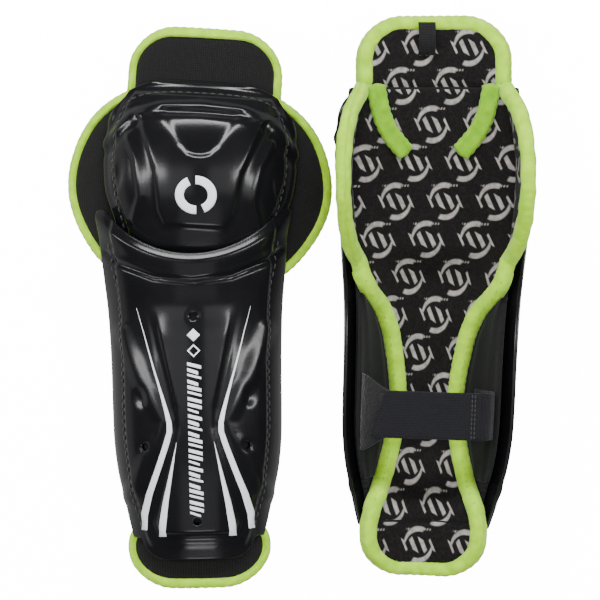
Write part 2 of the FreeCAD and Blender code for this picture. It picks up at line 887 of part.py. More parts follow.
def main():
    masters = make_masters()
    copies = []
    for guard in ("left", "right"):
        for group, pieces in masters.items():
            placement = group_placement(guard, group)
            for name, master in pieces.items():
                copies.append(place_copy(master, f"{guard}_{name}", placement))
    doc.recompute()
    check(copies)
    os.makedirs("parts", exist_ok=True)
    for item in copies:
        item.Shape.exportStep(f"parts/{item.Label}.step")


main()
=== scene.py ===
"""Looks of a pair of hockey shin guards, laid side by side: one face up, one face down."""

import json
import math

import bmesh
import bpy
import numpy as np
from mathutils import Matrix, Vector


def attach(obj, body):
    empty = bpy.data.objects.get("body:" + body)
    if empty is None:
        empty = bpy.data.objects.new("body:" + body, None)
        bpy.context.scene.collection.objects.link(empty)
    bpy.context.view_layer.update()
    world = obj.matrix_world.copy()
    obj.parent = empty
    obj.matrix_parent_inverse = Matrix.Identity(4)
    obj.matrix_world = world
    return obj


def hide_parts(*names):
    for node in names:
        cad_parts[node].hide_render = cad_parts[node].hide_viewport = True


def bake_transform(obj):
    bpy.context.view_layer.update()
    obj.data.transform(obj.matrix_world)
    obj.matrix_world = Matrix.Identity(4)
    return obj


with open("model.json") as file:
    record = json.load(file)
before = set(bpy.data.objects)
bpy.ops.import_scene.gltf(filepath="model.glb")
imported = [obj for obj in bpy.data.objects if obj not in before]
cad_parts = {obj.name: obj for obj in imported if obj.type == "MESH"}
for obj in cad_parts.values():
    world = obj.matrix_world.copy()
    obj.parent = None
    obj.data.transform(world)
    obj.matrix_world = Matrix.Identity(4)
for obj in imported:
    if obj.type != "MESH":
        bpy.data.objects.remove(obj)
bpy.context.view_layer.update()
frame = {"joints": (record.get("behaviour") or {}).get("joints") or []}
MM = 0.001
PRINT_UNIT = 0.01  # one unit of the "print" map is 100 mm of cloth

# Hinge lines of a guard, in its own mm: y and z.
KNEE_HINGE = (27.0, 18.0)
FLAP_HINGE = (139.2, 36.0)
TONGUE_HINGE = (-146.0, 27.0)

# Lengthways stations of the guard, in mm: y, crest, half width, rim height.
SHIN = np.array([
    (-166, 49, 38, 30.5), (-153, 53, 42.8, 25.5), (-142, 56, 45.8, 21.5), (-128, 59.3, 49, 17.5),
    (-112, 62, 52.8, 15.5), (-90, 64.3, 55.6, 14.5), (-68, 65.5, 56.3, 14.8), (-45, 66, 56.5, 16),
    (-22, 66, 57, 18), (0, 67, 58, 22), (22, 70.5, 60, 27.5), (43, 72.8, 62, 31), (64, 74.5, 63.5, 34),
], float)
CAP = np.array([
    (27, 57, 44, 42), (42, 64.6, 50, 37.5), (58, 70, 56, 34), (74, 73.4, 62.5, 30.5), (90, 74.4, 65, 28),
    (106, 73, 65, 28.5), (122, 69, 63, 30.5), (136, 61.5, 58, 34.5), (150, 50, 50, 39.5),
], float)
# Half width of the leg channel's lining out to the edge of its binding: y, half.
LINING = np.array([
    (-152, 43.6), (-142, 42.4), (-128, 38.2), (-112, 32.8), (-90, 28), (-64, 26.6), (-40, 30),
    (-20, 35), (-7, 41.5), (3, 50), (14, 55.5), (26, 57), (40, 57), (100, 57), (138, 55),
], float)
COLLAR = (112.0, 76.0)  # the round top edge of the shin shell: its middle's y, its radius
SHELL_THICK = 2.5
LINER_INSET = 8.1  # from the shin shell's face to its liner's outer face
LINER_THICK = 9.0
KNEE_LINER = (48.0, 92.7)  # crest and radius
FLAP = {
    "crest": 47.0, "radius": 92.7, "thick": 9.0, "half": 53.0,
    "root": 139.0, "end": 187.0, "corner": 29.0, "arch": 4.0,
}
TONGUE = {
    "crest": 38.0, "radius": 60.0, "thick": 8.0, "half": 44.0,
    "root": -148.0, "end": -187.0, "corner": 27.0, "arch": 4.0,
}
WING_HINGE = (57.5, 23.0)
WING_MIDDLE = 82.0
WING_REACH = 34.0
WING_RADIUS = 65.0
WING_THICK = 8.0
PAD_INSET = 4.2  # from the outline of a bound pad in to the edge of its filling
BAND_INSET = 4.6  # and in to the middle of its binding
BAND_WIDE = 10.4
BAND_THICK = 11.0
STITCH_PITCH = 5.4
FILL_FRAMES = 20  # length of the cloth runs that fill the pads


# ---------------------------------------------------------------- places

def unit(vectors):
    return vectors / np.maximum(np.linalg.norm(vectors, axis=-1, keepdims=True), 1e-6)


class Place:
    """A local frame in mm: its origin, and its axes as the columns of a matrix, in the row frame."""

    def __init__(self, origin, axes):
        self.origin = np.array(origin, float)
        self.axes = np.array(axes, float)

    def points(self, local):
        return (self.origin + np.asarray(local, float) @ self.axes.T) * MM

    def point(self, *local):
        return tuple(self.points(np.array(local, float)))


def joint(name):
    return next(j for j in frame["joints"] if j["name"] == name)


def place_from(first, first_at, second, second_at):
    """The frame in which two hinges are at those (y, z), the first one turning about its x axis."""
    across = unit(np.array(joint(first)["axis"], float))
    start = np.array(joint(first)["pos_m"], float) / MM
    step = np.array(joint(second)["pos_m"], float) / MM - start
    dy, dz = np.subtract(second_at, first_at)
    turned = np.cross(across, step)
    length = (dy * step - dz * turned) / (dy * dy + dz * dz)
    up = (dz * step + dy * turned) / (dy * dy + dz * dz)
    axes = np.stack([across, length, up], axis=1)
    return Place(start - axes @ np.array([0, *first_at], float), axes)


def wing_place(knee, side, droop):
    """Wing frame: x outwards from its hinge, y up the leg, z out of its front face."""
    lean = math.radians(droop)
    out = np.array([side * math.cos(lean), 0, -math.sin(lean)])
    face = np.array([side * math.sin(lean), 0, math.cos(lean)])
    origin = knee.origin + knee.axes @ np.array([side * WING_HINGE[0], 0, WING_HINGE[1]])
    return Place(origin, knee.axes @ np.stack([out, [0, 1, 0], face], axis=1))


# ---------------------------------------------------------------- curves and surfaces

def along(table, y):
    """The table's columns at heights y, smoothly."""
    ys, values = table[:, 0], table[:, 1:]
    slopes = np.gradient(values, ys, axis=0)
    k = np.clip(np.searchsorted(ys, y) - 1, 0, len(ys) - 2)
    span = ys[k + 1] - ys[k]
    t = np.clip((y - ys[k]) / span, 0, 1)[..., None]
    span = span[..., None]
    return (
        (2 * t**3 - 3 * t**2 + 1) * values[k]
        + (t**3 - 2 * t**2 + t) * span * slopes[k]
        + (3 * t**2 - 2 * t**3) * values[k + 1]
        + (t**3 - t**2) * span * slopes[k + 1]
    )


def ramp(distance, width):
    """0 to 1 as distance goes from 0 to width, smoothly."""
    t = np.clip(distance / width, 0, 1)
    return t * t * (3 - 2 * t)


def bump(distance, half):
    """1 at distance 0, falling smoothly to 0 at half."""
    return 1 - ramp(np.abs(distance), half)


def to_segment(x, y, start, end):
    """Distance to the segment from start to end."""
    (ax, ay), (bx, by) = start, end
    t = np.clip(((x - ax) * (bx - ax) + (y - ay) * (by - ay)) / ((bx - ax) ** 2 + (by - ay) ** 2), 0, 1)
    return np.hypot(x - ax - t * (bx - ax), y - ay - t * (by - ay))


def line_distance(x, y, line):
    """Distance to an open line."""
    return np.min([to_segment(x, y, a, b) for a, b in zip(line, line[1:])], axis=0)


def within(x, y, outline):
    """Distance to a closed outline, positive inside it."""
    inside = np.full(np.shape(x), False)
    for (ax, ay), (bx, by) in zip(outline, outline[1:] + outline[:1]):
        crosses = (ay > y) != (by > y)
        inside ^= crosses & (x < (bx - ax) * (y - ay) / ((by - ay) or 1e-9) + ax)
    away = line_distance(x, y, outline + outline[:1])
    return np.where(inside, away, -away)


def arc_point(crest, radius, x, y, depth):
    """A point of an arch over the plan point (x, y), depth below its outer face."""
    angle = np.arcsin(np.clip(x / radius, -1, 1))
    r = radius - depth
    return np.stack([r * np.sin(angle), y + 0 * x, crest - radius + r * np.cos(angle)], axis=-1)


def arch_at(table, y):
    """Crest and radius of a shell's arch at heights y."""
    crest, half, rim = np.moveaxis(along(table, y), -1, 0)
    high = crest - rim
    return crest, (half**2 + high**2) / (2 * high)


def shell_point(table, x, y, out):
    """A point of a shell's arched surface over the plan point (x, y), raised by out."""
    return arc_point(*arch_at(table, y), x, y, -out)


def liner_point(x, y, depth):
    """A point of the shin's liner over (x, y), depth below its outer face."""
    crest, radius = arch_at(SHIN, np.minimum(y, 50))
    return arc_point(crest - LINER_INSET, radius - LINER_INSET, x, y, depth)


def lengths(line):
    """How far along a line each of its points is."""
    return np.concatenate([[0], np.cumsum(np.linalg.norm(np.diff(line, axis=0), axis=1))])


def nearest(line, spots):
    """The number of the line's point that is nearest to each spot."""
    return np.argmin(np.linalg.norm(line[None] - spots[:, None], axis=2), axis=1)


def resample(points, step, rounds=4):
    """The line through points in steps of equal length, its corners softened."""
    p = np.array(points, float)
    for _ in range(rounds):
        length = lengths(p)
        count = max(int(round(length[-1] / step)), 4)
        p = np.stack([np.interp(np.linspace(0, length[-1], count + 1), length, c) for c in p.T], axis=1)
        p[1:-1] = (p[:-2] + 2 * p[1:-1] + p[2:]) / 4
    return p


# ---------------------------------------------------------------- meshes

class Piece:
    """Parts of one mesh, added up in local mm and built as one object."""

    def __init__(self):
        self.points = []
        self.faces = []
        self.index = []
        self.cloth = []
        self.count = 0

    def add(self, points, faces, index=0, cloth=None):
        points = np.asarray(points, float).reshape(-1, 3)
        self.points.append(points)
        self.faces.extend([k + self.count for k in face] for face in faces)
        self.index.extend([index] * len(faces) if np.isscalar(index) else list(index))
        self.cloth.append(points[:, :2] if cloth is None else np.asarray(cloth, float).reshape(-1, 2))
        self.count += len(points)
        return self

    def build(self, name, place, materials):
        """place is a Place, or a function from local mm points to row-frame metres."""
        local = np.concatenate(self.points)
        world = place.points(local) if isinstance(place, Place) else place(local)
        mesh = bpy.data.meshes.new(name)
        mesh.from_pydata(world.tolist(), [], self.faces)
        for material in materials:
            mesh.materials.append(material)
        mesh.polygons.foreach_set("material_index", np.array(self.index, np.int32))
        mesh.polygons.foreach_set("use_smooth", np.ones(len(self.faces), bool))
        cloth = np.concatenate(self.cloth) * PRINT_UNIT
        loops = np.empty(len(mesh.loops), np.int32)
        mesh.loops.foreach_get("vertex_index", loops)
        mesh.uv_layers.new(name="print").data.foreach_set("uv", cloth[loops].astype(np.float32).ravel())
        tidy = bmesh.new()
        tidy.from_mesh(mesh)
        bmesh.ops.remove_doubles(tidy, verts=tidy.verts, dist=2e-6)
        bmesh.ops.recalc_face_normals(tidy, faces=tidy.faces)
        tidy.to_mesh(mesh)
        tidy.free()
        obj = bpy.data.objects.new(name, mesh)
        bpy.context.scene.collection.objects.link(obj)
        return obj


def border(rows, columns):
    """The grid's border in order, and each border point's neighbour inwards, as flat indices."""
    around = [(0, j) for j in range(columns - 1)] + [(i, columns - 1) for i in range(rows - 1)]
    around += [(rows - 1, j) for j in range(columns - 1, 0, -1)] + [(i, 0) for i in range(rows - 1, 0, -1)]
    ring = np.array([i * columns + j for i, j in around])
    inner = np.array([np.clip(i, 1, rows - 2) * columns + np.clip(j, 1, columns - 2) for i, j in around])
    return ring, inner


def slab(piece, plan_x, plan_y, front, back, holes=(), bulge=0.8, back_index=0):
    """A closed plate over a plan grid. front and back give its two faces; holes are (x, y, radius)."""
    plan_x, plan_y = np.broadcast_arrays(plan_x, plan_y)
    rows, columns = plan_x.shape
    x, y = plan_x.copy(), plan_y.copy()
    middle_x = (x[1:, 1:] + x[:-1, :-1]) / 2
    middle_y = (y[1:, 1:] + y[:-1, :-1]) / 2
    cut = np.zeros(middle_x.shape, bool)
    for hx, hy, r in holes:
        cut |= np.hypot(middle_x - hx, middle_y - hy) < r
    touched = np.zeros((rows, columns), int)
    for di in (0, 1):
        for dj in (0, 1):
            touched[di:rows - 1 + di, dj:columns - 1 + dj] += cut
    for hx, hy, r in holes:
        away = np.hypot(x - hx, y - hy)
        edge = (touched > 0) & (touched < 4) & (away < r * 2)
        x[edge] = hx + (x[edge] - hx) * r / away[edge]
        y[edge] = hy + (y[edge] - hy) * r / away[edge]
    top = front(x, y).reshape(-1, 3)
    low = back(x, y).reshape(-1, 3)
    size = rows * columns
    corner = np.arange(size).reshape(rows, columns)
    quads = np.stack([corner[:-1, :-1], corner[:-1, 1:], corner[1:, 1:], corner[1:, :-1]], axis=-1)
    kept = quads[~cut]
    walls = []
    for i, j in np.argwhere(cut):
        a, b, c, d = quads[i, j]
        for a, b, other in ((a, b, (i - 1, j)), (b, c, (i, j + 1)), (c, d, (i + 1, j)), (d, a, (i, j - 1))):
            if not cut[other]:
                walls.append((a, b, b + size, a + size))
    ring, inner = border(rows, columns)
    middle, half = (top[ring] + low[ring]) / 2, (top[ring] - low[ring]) / 2
    outward = middle - (top[inner] + low[inner]) / 2
    normal = unit(half)
    outward = unit(outward - normal * np.sum(outward * normal, axis=1, keepdims=True))
    thick = np.linalg.norm(half, axis=1, keepdims=True)
    rings, numbers = [], [ring]
    for k, turn in enumerate((45, 90, 135)):
        c, s = math.cos(math.radians(turn)), math.sin(math.radians(turn))
        rings.append(middle + half * c + outward * thick * s * bulge)
        numbers.append(2 * size + k * len(ring) + np.arange(len(ring)))
    numbers.append(ring + size)
    rim = [np.stack([a, np.roll(a, -1), np.roll(b, -1), b], axis=-1) for a, b in zip(numbers, numbers[1:])]
    faces = [kept, kept[:, ::-1] + size, *rim]
    index = [0] * len(kept) + [back_index] * len(kept) + [0] * (4 * len(ring))
    if walls:
        faces.append(np.array(walls))
        index += [0] * len(walls)
    flat = np.stack([plan_x, plan_y], axis=-1).reshape(-1, 2)
    maps = np.concatenate([flat, flat, *[flat[ring]] * 3])
    return piece.add(np.concatenate([top, low, *rings]), np.concatenate(faces).tolist(), index, maps)


def capsules(piece, centres, ways, normals, long, radius):
    """Small threads lying along ways, each sunk by a third of its thickness."""
    turns = np.linspace(0, 2 * math.pi, 7)[:-1]
    steps = np.array([-1, -0.82, -0.3, 0.3, 0.82, 1])
    girth = np.array([0.1, 0.75, 1, 1, 0.75, 0.1])
    for centre, way, normal in zip(centres, ways, normals):
        across = np.cross(way, normal)
        rings = [
            centre + way * long / 2 * t - normal * radius * 0.5 * t * t
            + radius * g * (np.cos(turns)[:, None] * across + np.sin(turns)[:, None] * normal)
            for t, g in zip(steps, girth)
        ]
        tube(piece, np.array(rings))


def tube(piece, rings, cloth=None):
    """A closed tube through rings of points, its two ends capped."""
    count, around = rings.shape[:2]
    number = np.arange(count * around).reshape(count, around)
    after = np.roll(number, -1, axis=1)
    faces = np.stack([number[:-1], after[:-1], after[1:], number[1:]], axis=-1).reshape(-1, 4).tolist()
    faces += [(count * around, b, a) for a, b in zip(number[0].tolist(), after[0].tolist())]
    faces += [(count * around + 1, a, b) for a, b in zip(number[-1].tolist(), after[-1].tolist())]
    points = np.concatenate([rings.reshape(-1, 3), [rings[0].mean(axis=0), rings[-1].mean(axis=0)]])
    if cloth is not None:
        cloth = np.concatenate([cloth.reshape(-1, 2), cloth[0, :1], cloth[-1, :1]])
    return piece.add(points, faces, 0, cloth)


def frames_along(path, faces):
    """Unit directions along, across and out of a line whose face normals are given."""
    ways = unit(np.gradient(path, axis=0))
    across = unit(np.cross(ways, faces))
    return ways, across, np.cross(across, ways)


def band(path, faces, wide, thick, seed=0.0, groove=0.0, inward=0):
    """A puffy folded binding along path: an oval tube with gathered, scalloped edges.
    inward is the side that its pad is on; over the pad's front the fold reaches less far."""
    _, across, out = frames_along(path, faces)
    length = lengths(path)
    turns = np.linspace(0, 2 * math.pi, 25)[:-1]
    c, s = np.cos(turns), np.sin(turns)
    side = np.sign(c) * np.abs(c) ** 0.8
    face = np.sign(s) * np.abs(s) ** 0.75
    run = length[:, None]
    scallop = np.abs(np.sin(math.pi * run / STITCH_PITCH)) - 0.6
    pucker = np.sin(run / 3.1 + seed + 2.0 * s) + 0.6 * np.sin(run / 1.7 + 2.3 * seed + 3.0 * c)
    plump = 1 + 0.032 * pucker * (0.35 + np.abs(s)) + 0.032 * np.sin(run / 13.0 + seed)
    gathers = 1 + 0.11 * scallop * np.abs(c) ** 3 + 0.025 * np.sin(run / 17.0 + 1.7 * seed)
    short = np.where((c * inward > 0) & (s > 0), 1 - 0.62 * np.clip(s * 3, 0, 1), 1)
    width = wide / 2 * side * gathers * short
    height = thick / 2 * face * plump * (1 - groove * np.exp(-((c / 0.28) ** 2)))
    close = np.sqrt(np.clip(np.minimum(length, length[-1] - length) / (thick * 0.35), 0.02, 1))[:, None, None]
    round_it = across[:, None, :] * width[..., None] + out[:, None, :] * height[..., None]
    maps = np.broadcast_arrays(run, turns * wide * 0.45)
    return tube(Piece(), path[:, None, :] + close * round_it, np.stack(maps, axis=-1))


def sew(path, faces, wide, thick, edges, sides):
    """Threads along a binding's edges, one in each valley of its scallops."""
    spots = nearest(path, resample(path, STITCH_PITCH, rounds=1))[2:-2]
    centres = path[spots]
    ways, across, out = (v[spots] for v in frames_along(path, faces))
    piece = Piece()
    for edge in edges:
        for side in sides:
            at = centres + across * wide * 0.39 * edge + out * thick * 0.335 * side
            capsules(piece, at, ways, out * side * 0.75 + across * edge * 0.66, 2.9, 0.5)
    return piece


# ---------------------------------------------------------------- materials

class Value:
    """An output of a node in a paint. Sums with it make more nodes."""

    def __init__(self, paint, socket):
        self.paint = paint
        self.socket = socket

    def __add__(self, other):
        return self.paint.maths("ADD", self, other)

    def __sub__(self, other):
        return self.paint.maths("SUBTRACT", self, other)

    def __mul__(self, other):
        return self.paint.maths("MULTIPLY", self, other)

    def __truediv__(self, other):
        return self.paint.maths("DIVIDE", self, other)

    def __abs__(self):
        return self.paint.maths("ABSOLUTE", self)


class Paint:
    """A procedural material being made. add() makes a node and fills its inputs by name or number."""

    def __init__(self, name, **values):
        self.material = bpy.data.materials.new(name)
        self.material.use_nodes = True
        self.tree = self.material.node_tree
        self.shader = self.tree.nodes["Principled BSDF"]
        for key, value in values.items():
            self.fill(self.shader, key.replace("_", " "), value)

    def fill(self, node, key, value):
        socket = node.inputs[key]
        if isinstance(value, Value):
            self.tree.links.new(value.socket, socket)
        elif isinstance(value, tuple) and len(value) == 3 and socket.type == "RGBA":
            socket.default_value = (*value, 1)
        else:
            socket.default_value = value

    def add(self, kind, inputs=None, out=0, **settings):
        node = self.tree.nodes.new("ShaderNode" + kind)
        for key, value in settings.items():
            setattr(node, key, value)
        for key, value in (inputs or {}).items():
            self.fill(node, key, value)
        return Value(self, node.outputs[out])

    def maths(self, operation, *values):
        return self.add("Math", dict(enumerate(values)), operation=operation)

    def sine(self, length, period):
        """A wave along a length, both in mm."""
        return self.maths("SINE", length * (2 * math.pi / period))

    def print_map(self):
        return self.add("UVMap", uv_map="print")

    def cloth(self):
        """The print map, and the cloth's own two lengths in mm."""
        place = self.print_map()
        u, v = (self.add("SeparateXYZ", {0: place}, out) / PRINT_UNIT for out in (0, 1))
        return place, u, v

    def noise(self, where, scale, detail=2.0, **more):
        return self.add("TexNoise", {"Vector": where, "Scale": scale, "Detail": detail, **more})

    def between(self, factor, low, high):
        """A number from low to high as factor goes from 0 to 1."""
        return self.add("MapRange", {"Value": factor, "To Min": low, "To Max": high})

    def below(self, value, limit, soft=0.5):
        """1 where value is under the limit and 0 over it, with a soft step."""
        span = {"From Min": limit - soft, "From Max": limit + soft, "To Min": 1.0, "To Max": 0.0}
        return self.add("MapRange", {"Value": value, **span})

    def mix(self, factor, first, second):
        return self.add("Mix", {0: factor, 6: first, 7: second}, 2, data_type="RGBA")

    def finish(self, height, distance, strength, color, roughness=None):
        normal = self.add("Bump", {"Height": height, "Distance": distance, "Strength": strength})
        self.fill(self.shader, "Normal", normal)
        self.fill(self.shader, "Base Color", color)
        if roughness is not None:
            self.fill(self.shader, "Roughness", roughness)
        return self.material


def gloss_black():
    p = Paint("gloss_black_plastic", IOR=1.38)
    where = p.add("TexCoord", out=3)
    cloud = p.noise(where, 40)
    scuffs = p.noise(where, 240, 5.0, Distortion=1.2)
    roughness = p.between(cloud, 0.13, 0.22) + p.between(scuffs, -0.02, 0.04)
    color = p.mix(cloud, (0.004, 0.004, 0.005), (0.008, 0.008, 0.009))
    return p.finish(p.noise(where, 700, 1.0), 0.00004, 0.5, color, roughness)


def thread(name, dark, light):
    p = Paint(name, Roughness=0.6, Sheen_Weight=0.2)
    strands = p.noise(p.add("TexCoord", out=3), 1500, 3.0)
    return p.finish(strands, 0.0002, 0.6, p.mix(strands, dark, light))


def knit(name, dark, light, rib, course):
    """A ribbed knit: rows of loops across ribs, rib and course apart in mm."""
    p = Paint(name, Roughness=0.92, Specular_IOR_Level=0.12, Sheen_Weight=0.05, Sheen_Roughness=0.5)
    place, u, v = p.cloth()
    ribs = abs(p.sine(u, 2 * rib))
    loops = abs(p.sine(v + ribs * (course * 0.6), 2 * course))
    height = ribs * loops + p.noise(place, 180, 4.0) * 0.5
    return p.finish(height, 0.00045, 0.8, p.mix(p.between(height, 0.0, 0.8), dark, light))


def printed():
    """Black mesh lining with a staggered pattern of broken rings around leaning bars."""
    p = Paint("black_printed_mesh", Roughness=0.85, Specular_IOR_Level=0.12, Sheen_Weight=0.04)
    place, u, v = p.cloth()
    pitch_u, pitch_v, bar_pitch, dash_pitch = 36.0, 25.5, 7.6, 2.1
    row = v / pitch_v
    x = (p.maths("FRACT", u / pitch_u + p.maths("FLOOR", row) * 0.37) - 0.5) * pitch_u
    y = (p.maths("FRACT", row) - 0.5) * pitch_v

    def off_middle(value, pitch):
        return abs(p.maths("FRACT", value / pitch) - 0.5)

    away = p.maths("SQRT", x * x + y * y)
    ring = p.below(abs(away - 10.5) - (abs(y) * 0.13 + 0.3), 0.0)
    ring = ring * p.below(y * (x + y * 0.5) * -1.0, -12.0, 8.0)
    lean = x - y * 0.5
    tall = p.maths("COSINE", lean * (math.pi / bar_pitch)) * 1.7 + 4.4
    bars = p.below(off_middle(lean, bar_pitch), 0.22, 0.05) * p.below(abs(y) - tall, 0.0)
    bars = bars * p.below(abs(lean), 11.4, 0.3)
    dashes = p.below(off_middle(x + y * 0.35, dash_pitch), 0.3, 0.08) * p.below(abs(y - 10.5), 0.7, 0.3)
    dashes = dashes * p.below(abs(x), 9.5) * 0.7
    ink = p.maths("MAXIMUM", p.maths("MAXIMUM", ring, bars), dashes)
    worn = ink * p.between(p.noise(place, 26), 0.2, 1.1)
    pores = p.add("TexVoronoi", {"Vector": place, "Scale": 55.0})
    height = pores + p.noise(place, 300) * 0.4
    black = p.mix(pores, (0.0025, 0.0022, 0.0022), (0.009, 0.008, 0.008))
    return p.finish(height, 0.0004, 0.7, p.mix(worn, black, (0.38, 0.355, 0.335)))


def lime_binding(name, dark, light):
    p = Paint(name, Roughness=0.7, Specular_IOR_Level=0.12, Sheen_Weight=0.25, Sheen_Roughness=0.4)
    place, u, v = p.cloth()
    weave = p.sine(u, 0.8) * p.sine(v, 0.8)
    creases = p.noise(place, 14, 3.0)
    height = weave * 0.12 + (creases + p.noise(place, 130, 3.0) * 0.3)
    return p.finish(height, 0.0009, 0.8, p.mix(p.between(creases, -0.4, 1.4), dark, light))


def webbing(name, dark, light, rib):
    p = Paint(name, Roughness=0.75, Specular_IOR_Level=0.12, Sheen_Weight=0.1, Sheen_Roughness=0.4)
    place, u, v = p.cloth()
    height = p.sine(u, rib) * 0.5 + p.sine(v, rib * 1.6) * 0.25 + p.noise(place, 220, 3.0)
    return p.finish(height, 0.0003, 0.8, p.mix(p.between(height, 0.0, 0.6), dark, light))


def tape(name, scale, distance):
    """Hook or loop tape: a field of small hooks or fuzz."""
    p = Paint(name, Roughness=0.9, Specular_IOR_Level=0.12, Sheen_Weight=0.2)
    place = p.print_map()
    fuzz = p.noise(place, scale * 2, 4.0)
    height = p.add("TexVoronoi", {"Vector": place, "Scale": scale}) + fuzz * 0.6
    return p.finish(height, distance, 0.9, p.mix(fuzz, (0.006, 0.006, 0.0065), (0.02, 0.02, 0.021)))


def nylon():
    """Smooth brushed panel cloth."""
    p = Paint("black_brushed_panel", Roughness=0.8, Specular_IOR_Level=0.12, Sheen_Weight=0.08,
              Sheen_Roughness=0.45)
    place = p.print_map()
    nap = p.noise(place, 90, 5.0)
    height = nap * 0.3 + p.noise(place, 5)
    return p.finish(height, 0.0008, 0.6, p.mix(nap, (0.004, 0.004, 0.0045), (0.011, 0.011, 0.012)))


def white_print():
    p = Paint("white_print", Roughness=0.35)
    film = p.noise(p.add("TexCoord", out=3), 500, 3.0)
    return p.finish(film, 0.00003, 0.5, p.mix(film, (0.74, 0.77, 0.80), (0.86, 0.88, 0.90)))


GLOSS = gloss_black()
THREAD = thread("black_thread", (0.004, 0.004, 0.004), (0.02, 0.02, 0.021))
LIME_THREAD = thread("lime_thread", (0.14, 0.34, 0.01), (0.24, 0.50, 0.03))
RIBBED = knit("black_ribbed_knit", (0.003, 0.003, 0.003), (0.016, 0.016, 0.016), 1.5, 1.1)
FOAM = knit("black_backing_foam", (0.006, 0.006, 0.007), (0.022, 0.022, 0.023), 0.9, 0.9)
PRINTED = printed()
LIME = lime_binding("lime_binding_cloth", (0.27, 0.58, 0.006), (0.48, 0.82, 0.02))
# A darker copy of the lime binding cloth: painted shade, for the notch loops that lie in shade beside the
# knee hollow.
SHADED_LIME = lime_binding("lime_binding_painted_shade", (0.12, 0.33, 0.003), (0.26, 0.55, 0.008))
PANEL = nylon()
ELASTIC = webbing("charcoal_elastic", (0.006, 0.006, 0.0075), (0.018, 0.018, 0.022), 0.9)
WEBBING = webbing("charcoal_strap_webbing", (0.006, 0.006, 0.0075), (0.019, 0.019, 0.0235), 1.1)
LOOP_WEBBING = webbing("black_loop_webbing", (0.006, 0.006, 0.006), (0.022, 0.022, 0.024), 1.0)
HOOK = tape("black_hook_tape", 90.0, 0.0005)
FUZZ = tape("black_loop_tape", 45.0, 0.0006)
WHITE = white_print()


# ---------------------------------------------------------------- hard shells

def mirrored(points):
    """A symmetric closed outline from its right half, listed from top to bottom."""
    return list(points) + [(-x, y) for x, y in reversed(points)]


CAP_OUTLINE = mirrored([(float(along(CAP, np.array(float(y)))[1]), float(y)) for y in range(150, 26, -4)])
SHIELD = mirrored([(42, 128), (35, 108), (28.5, 90), (24.3, 63), (19.5, 53.5)])
RECESS = mirrored([(27.5, 134), (20, 118), (13.5, 106.5), (8, 100.8), (3, 99.2)])
BROW = [
    (-64, 106), (-50, 121.5), (-43, 127.5), (-26, 132.5), (0, 134.5),
    (26, 132.5), (43, 127.5), (50, 121.5), (64, 106),
]
COLLAR_GROOVE = [(-58, 38), (-50, 31), (-26, 21.5), (0, 18.5), (26, 21.5), (50, 31), (58, 38)]
CENTRE_PANEL = mirrored([(28, 5), (22, -26), (13.5, -66), (12.8, -78), (15, -90), (27.5, -142), (25, -150)])
CREASE = [(48, -14), (37, -44), (21, -74), (24, -84), (37, -108), (46, -126)]
VENTS = [(0, -5, 2.5), (0, -141, 2.5), (34, -91, 2.5), (-34, -91, 2.5)]
SHIN_STITCHES = [
    (56.5, 48), (54.5, 30), (50.2, 12), (48.8, -30), (48.7, -80), (46, -108), (41.5, -132), (36, -150),
]
# The white stripes beside the middle of the shin: their spines, and their width at each point.
LONG_STRIPE = [
    (37.5, 1), (31.5, -24), (24.5, -48), (18.8, -68), (17.2, -75), (17.2, -81), (19.6, -89),
    (25.6, -106), (31.6, -123), (35, -137), (35.6, -147),
]
LONG_STRIPE_WIDE = [0.12, 0.7, 1.4, 2.5, 3.0, 3.3, 3.6, 4.0, 4.3, 4.5, 4.6]
SHORT_STRIPE = [(12.2, -88), (15.8, -106), (20.2, -128), (23.4, -151)]
SHORT_STRIPE_WIDE = [0.12, 1.9, 3.8, 4.8]
TOE_CORNER = 16.0


def cap_relief(x, y):
    """Height of the knee cap's sculpting: flange, brow, shield and side dimples."""
    edge = within(x, y, CAP_OUTLINE)
    out = 1.6 * ramp(edge - 7.6, 2.2) + 0.9 * bump(edge - 1.6, 2.6)
    brow = line_distance(x, y, BROW)
    out += 1.2 * (1 - ramp(brow - 0.8, 3.6)) - 0.5 * bump(brow - 6.4, 3.6) * ramp(132 - y, 3)
    shield = within(x, y, SHIELD)
    out += 1.7 * ramp(shield + 1.4, 4.4) - 0.3 * bump(shield + 3.2, 3.2)
    out -= 1.8 * ramp(within(x, y, RECESS) + 1.2, 4.4) * ramp(133 - y, 4.0)
    out -= 1.7 * bump(np.hypot((np.abs(x) - 52.5 + (y - 84) * 0.12) / 5.5, (y - 84) / 15), 1.0)
    cheek = line_distance(np.abs(x), y, [(47, 112), (40, 96), (36, 72), (40, 56)])
    out += 1.0 * bump(cheek, 4.0)
    return out


def shin_relief(x, y):
    """Height of the shin shell's sculpting: rolled collar, flange, hourglass facets and dimples."""
    under = np.hypot(x, y - COLLAR[0]) - COLLAR[1]
    out = 2.1 - 0.62 * np.clip(4.2 - under, 0, 3.9) - 1.3 * ramp(under - 5.4, 9.0)
    groove = line_distance(x, y, COLLAR_GROOVE)
    out -= 1.6 * bump(groove, 3.4)
    flange = np.abs(x) - along(SHIN, y)[..., 1] + 9.3
    out += 1.4 * (1 - ramp(flange + 1.2, 2.4)) * ramp(y + 160, 9)
    panel = within(x, y, CENTRE_PANEL)
    out += (1.9 * ramp(panel + 0.5, 3.4) - 0.5 * bump(panel + 3.0, 2.4)) * (1 - ramp(y + 20, 24))
    crease = line_distance(np.abs(x), y, CREASE)
    out += 1.3 * bump(crease, 8.0) - 0.8 * bump(np.hypot((np.abs(x) - 33) / 12, (y + 22) / 26), 1.0)
    out -= 1.5 * bump(np.hypot((np.abs(x) - 36) / 6.2, (y + 58) / 10), 1.0)
    out -= 0.9 * bump(np.hypot(x, y + 5), 6.5)
    out -= 0.8 * bump(np.hypot(np.abs(x) - 34, y + 91), 6.0)
    return out - 3.3 * (1 - np.clip(x / along(SHIN, y)[..., 1], -1, 1) ** 2)


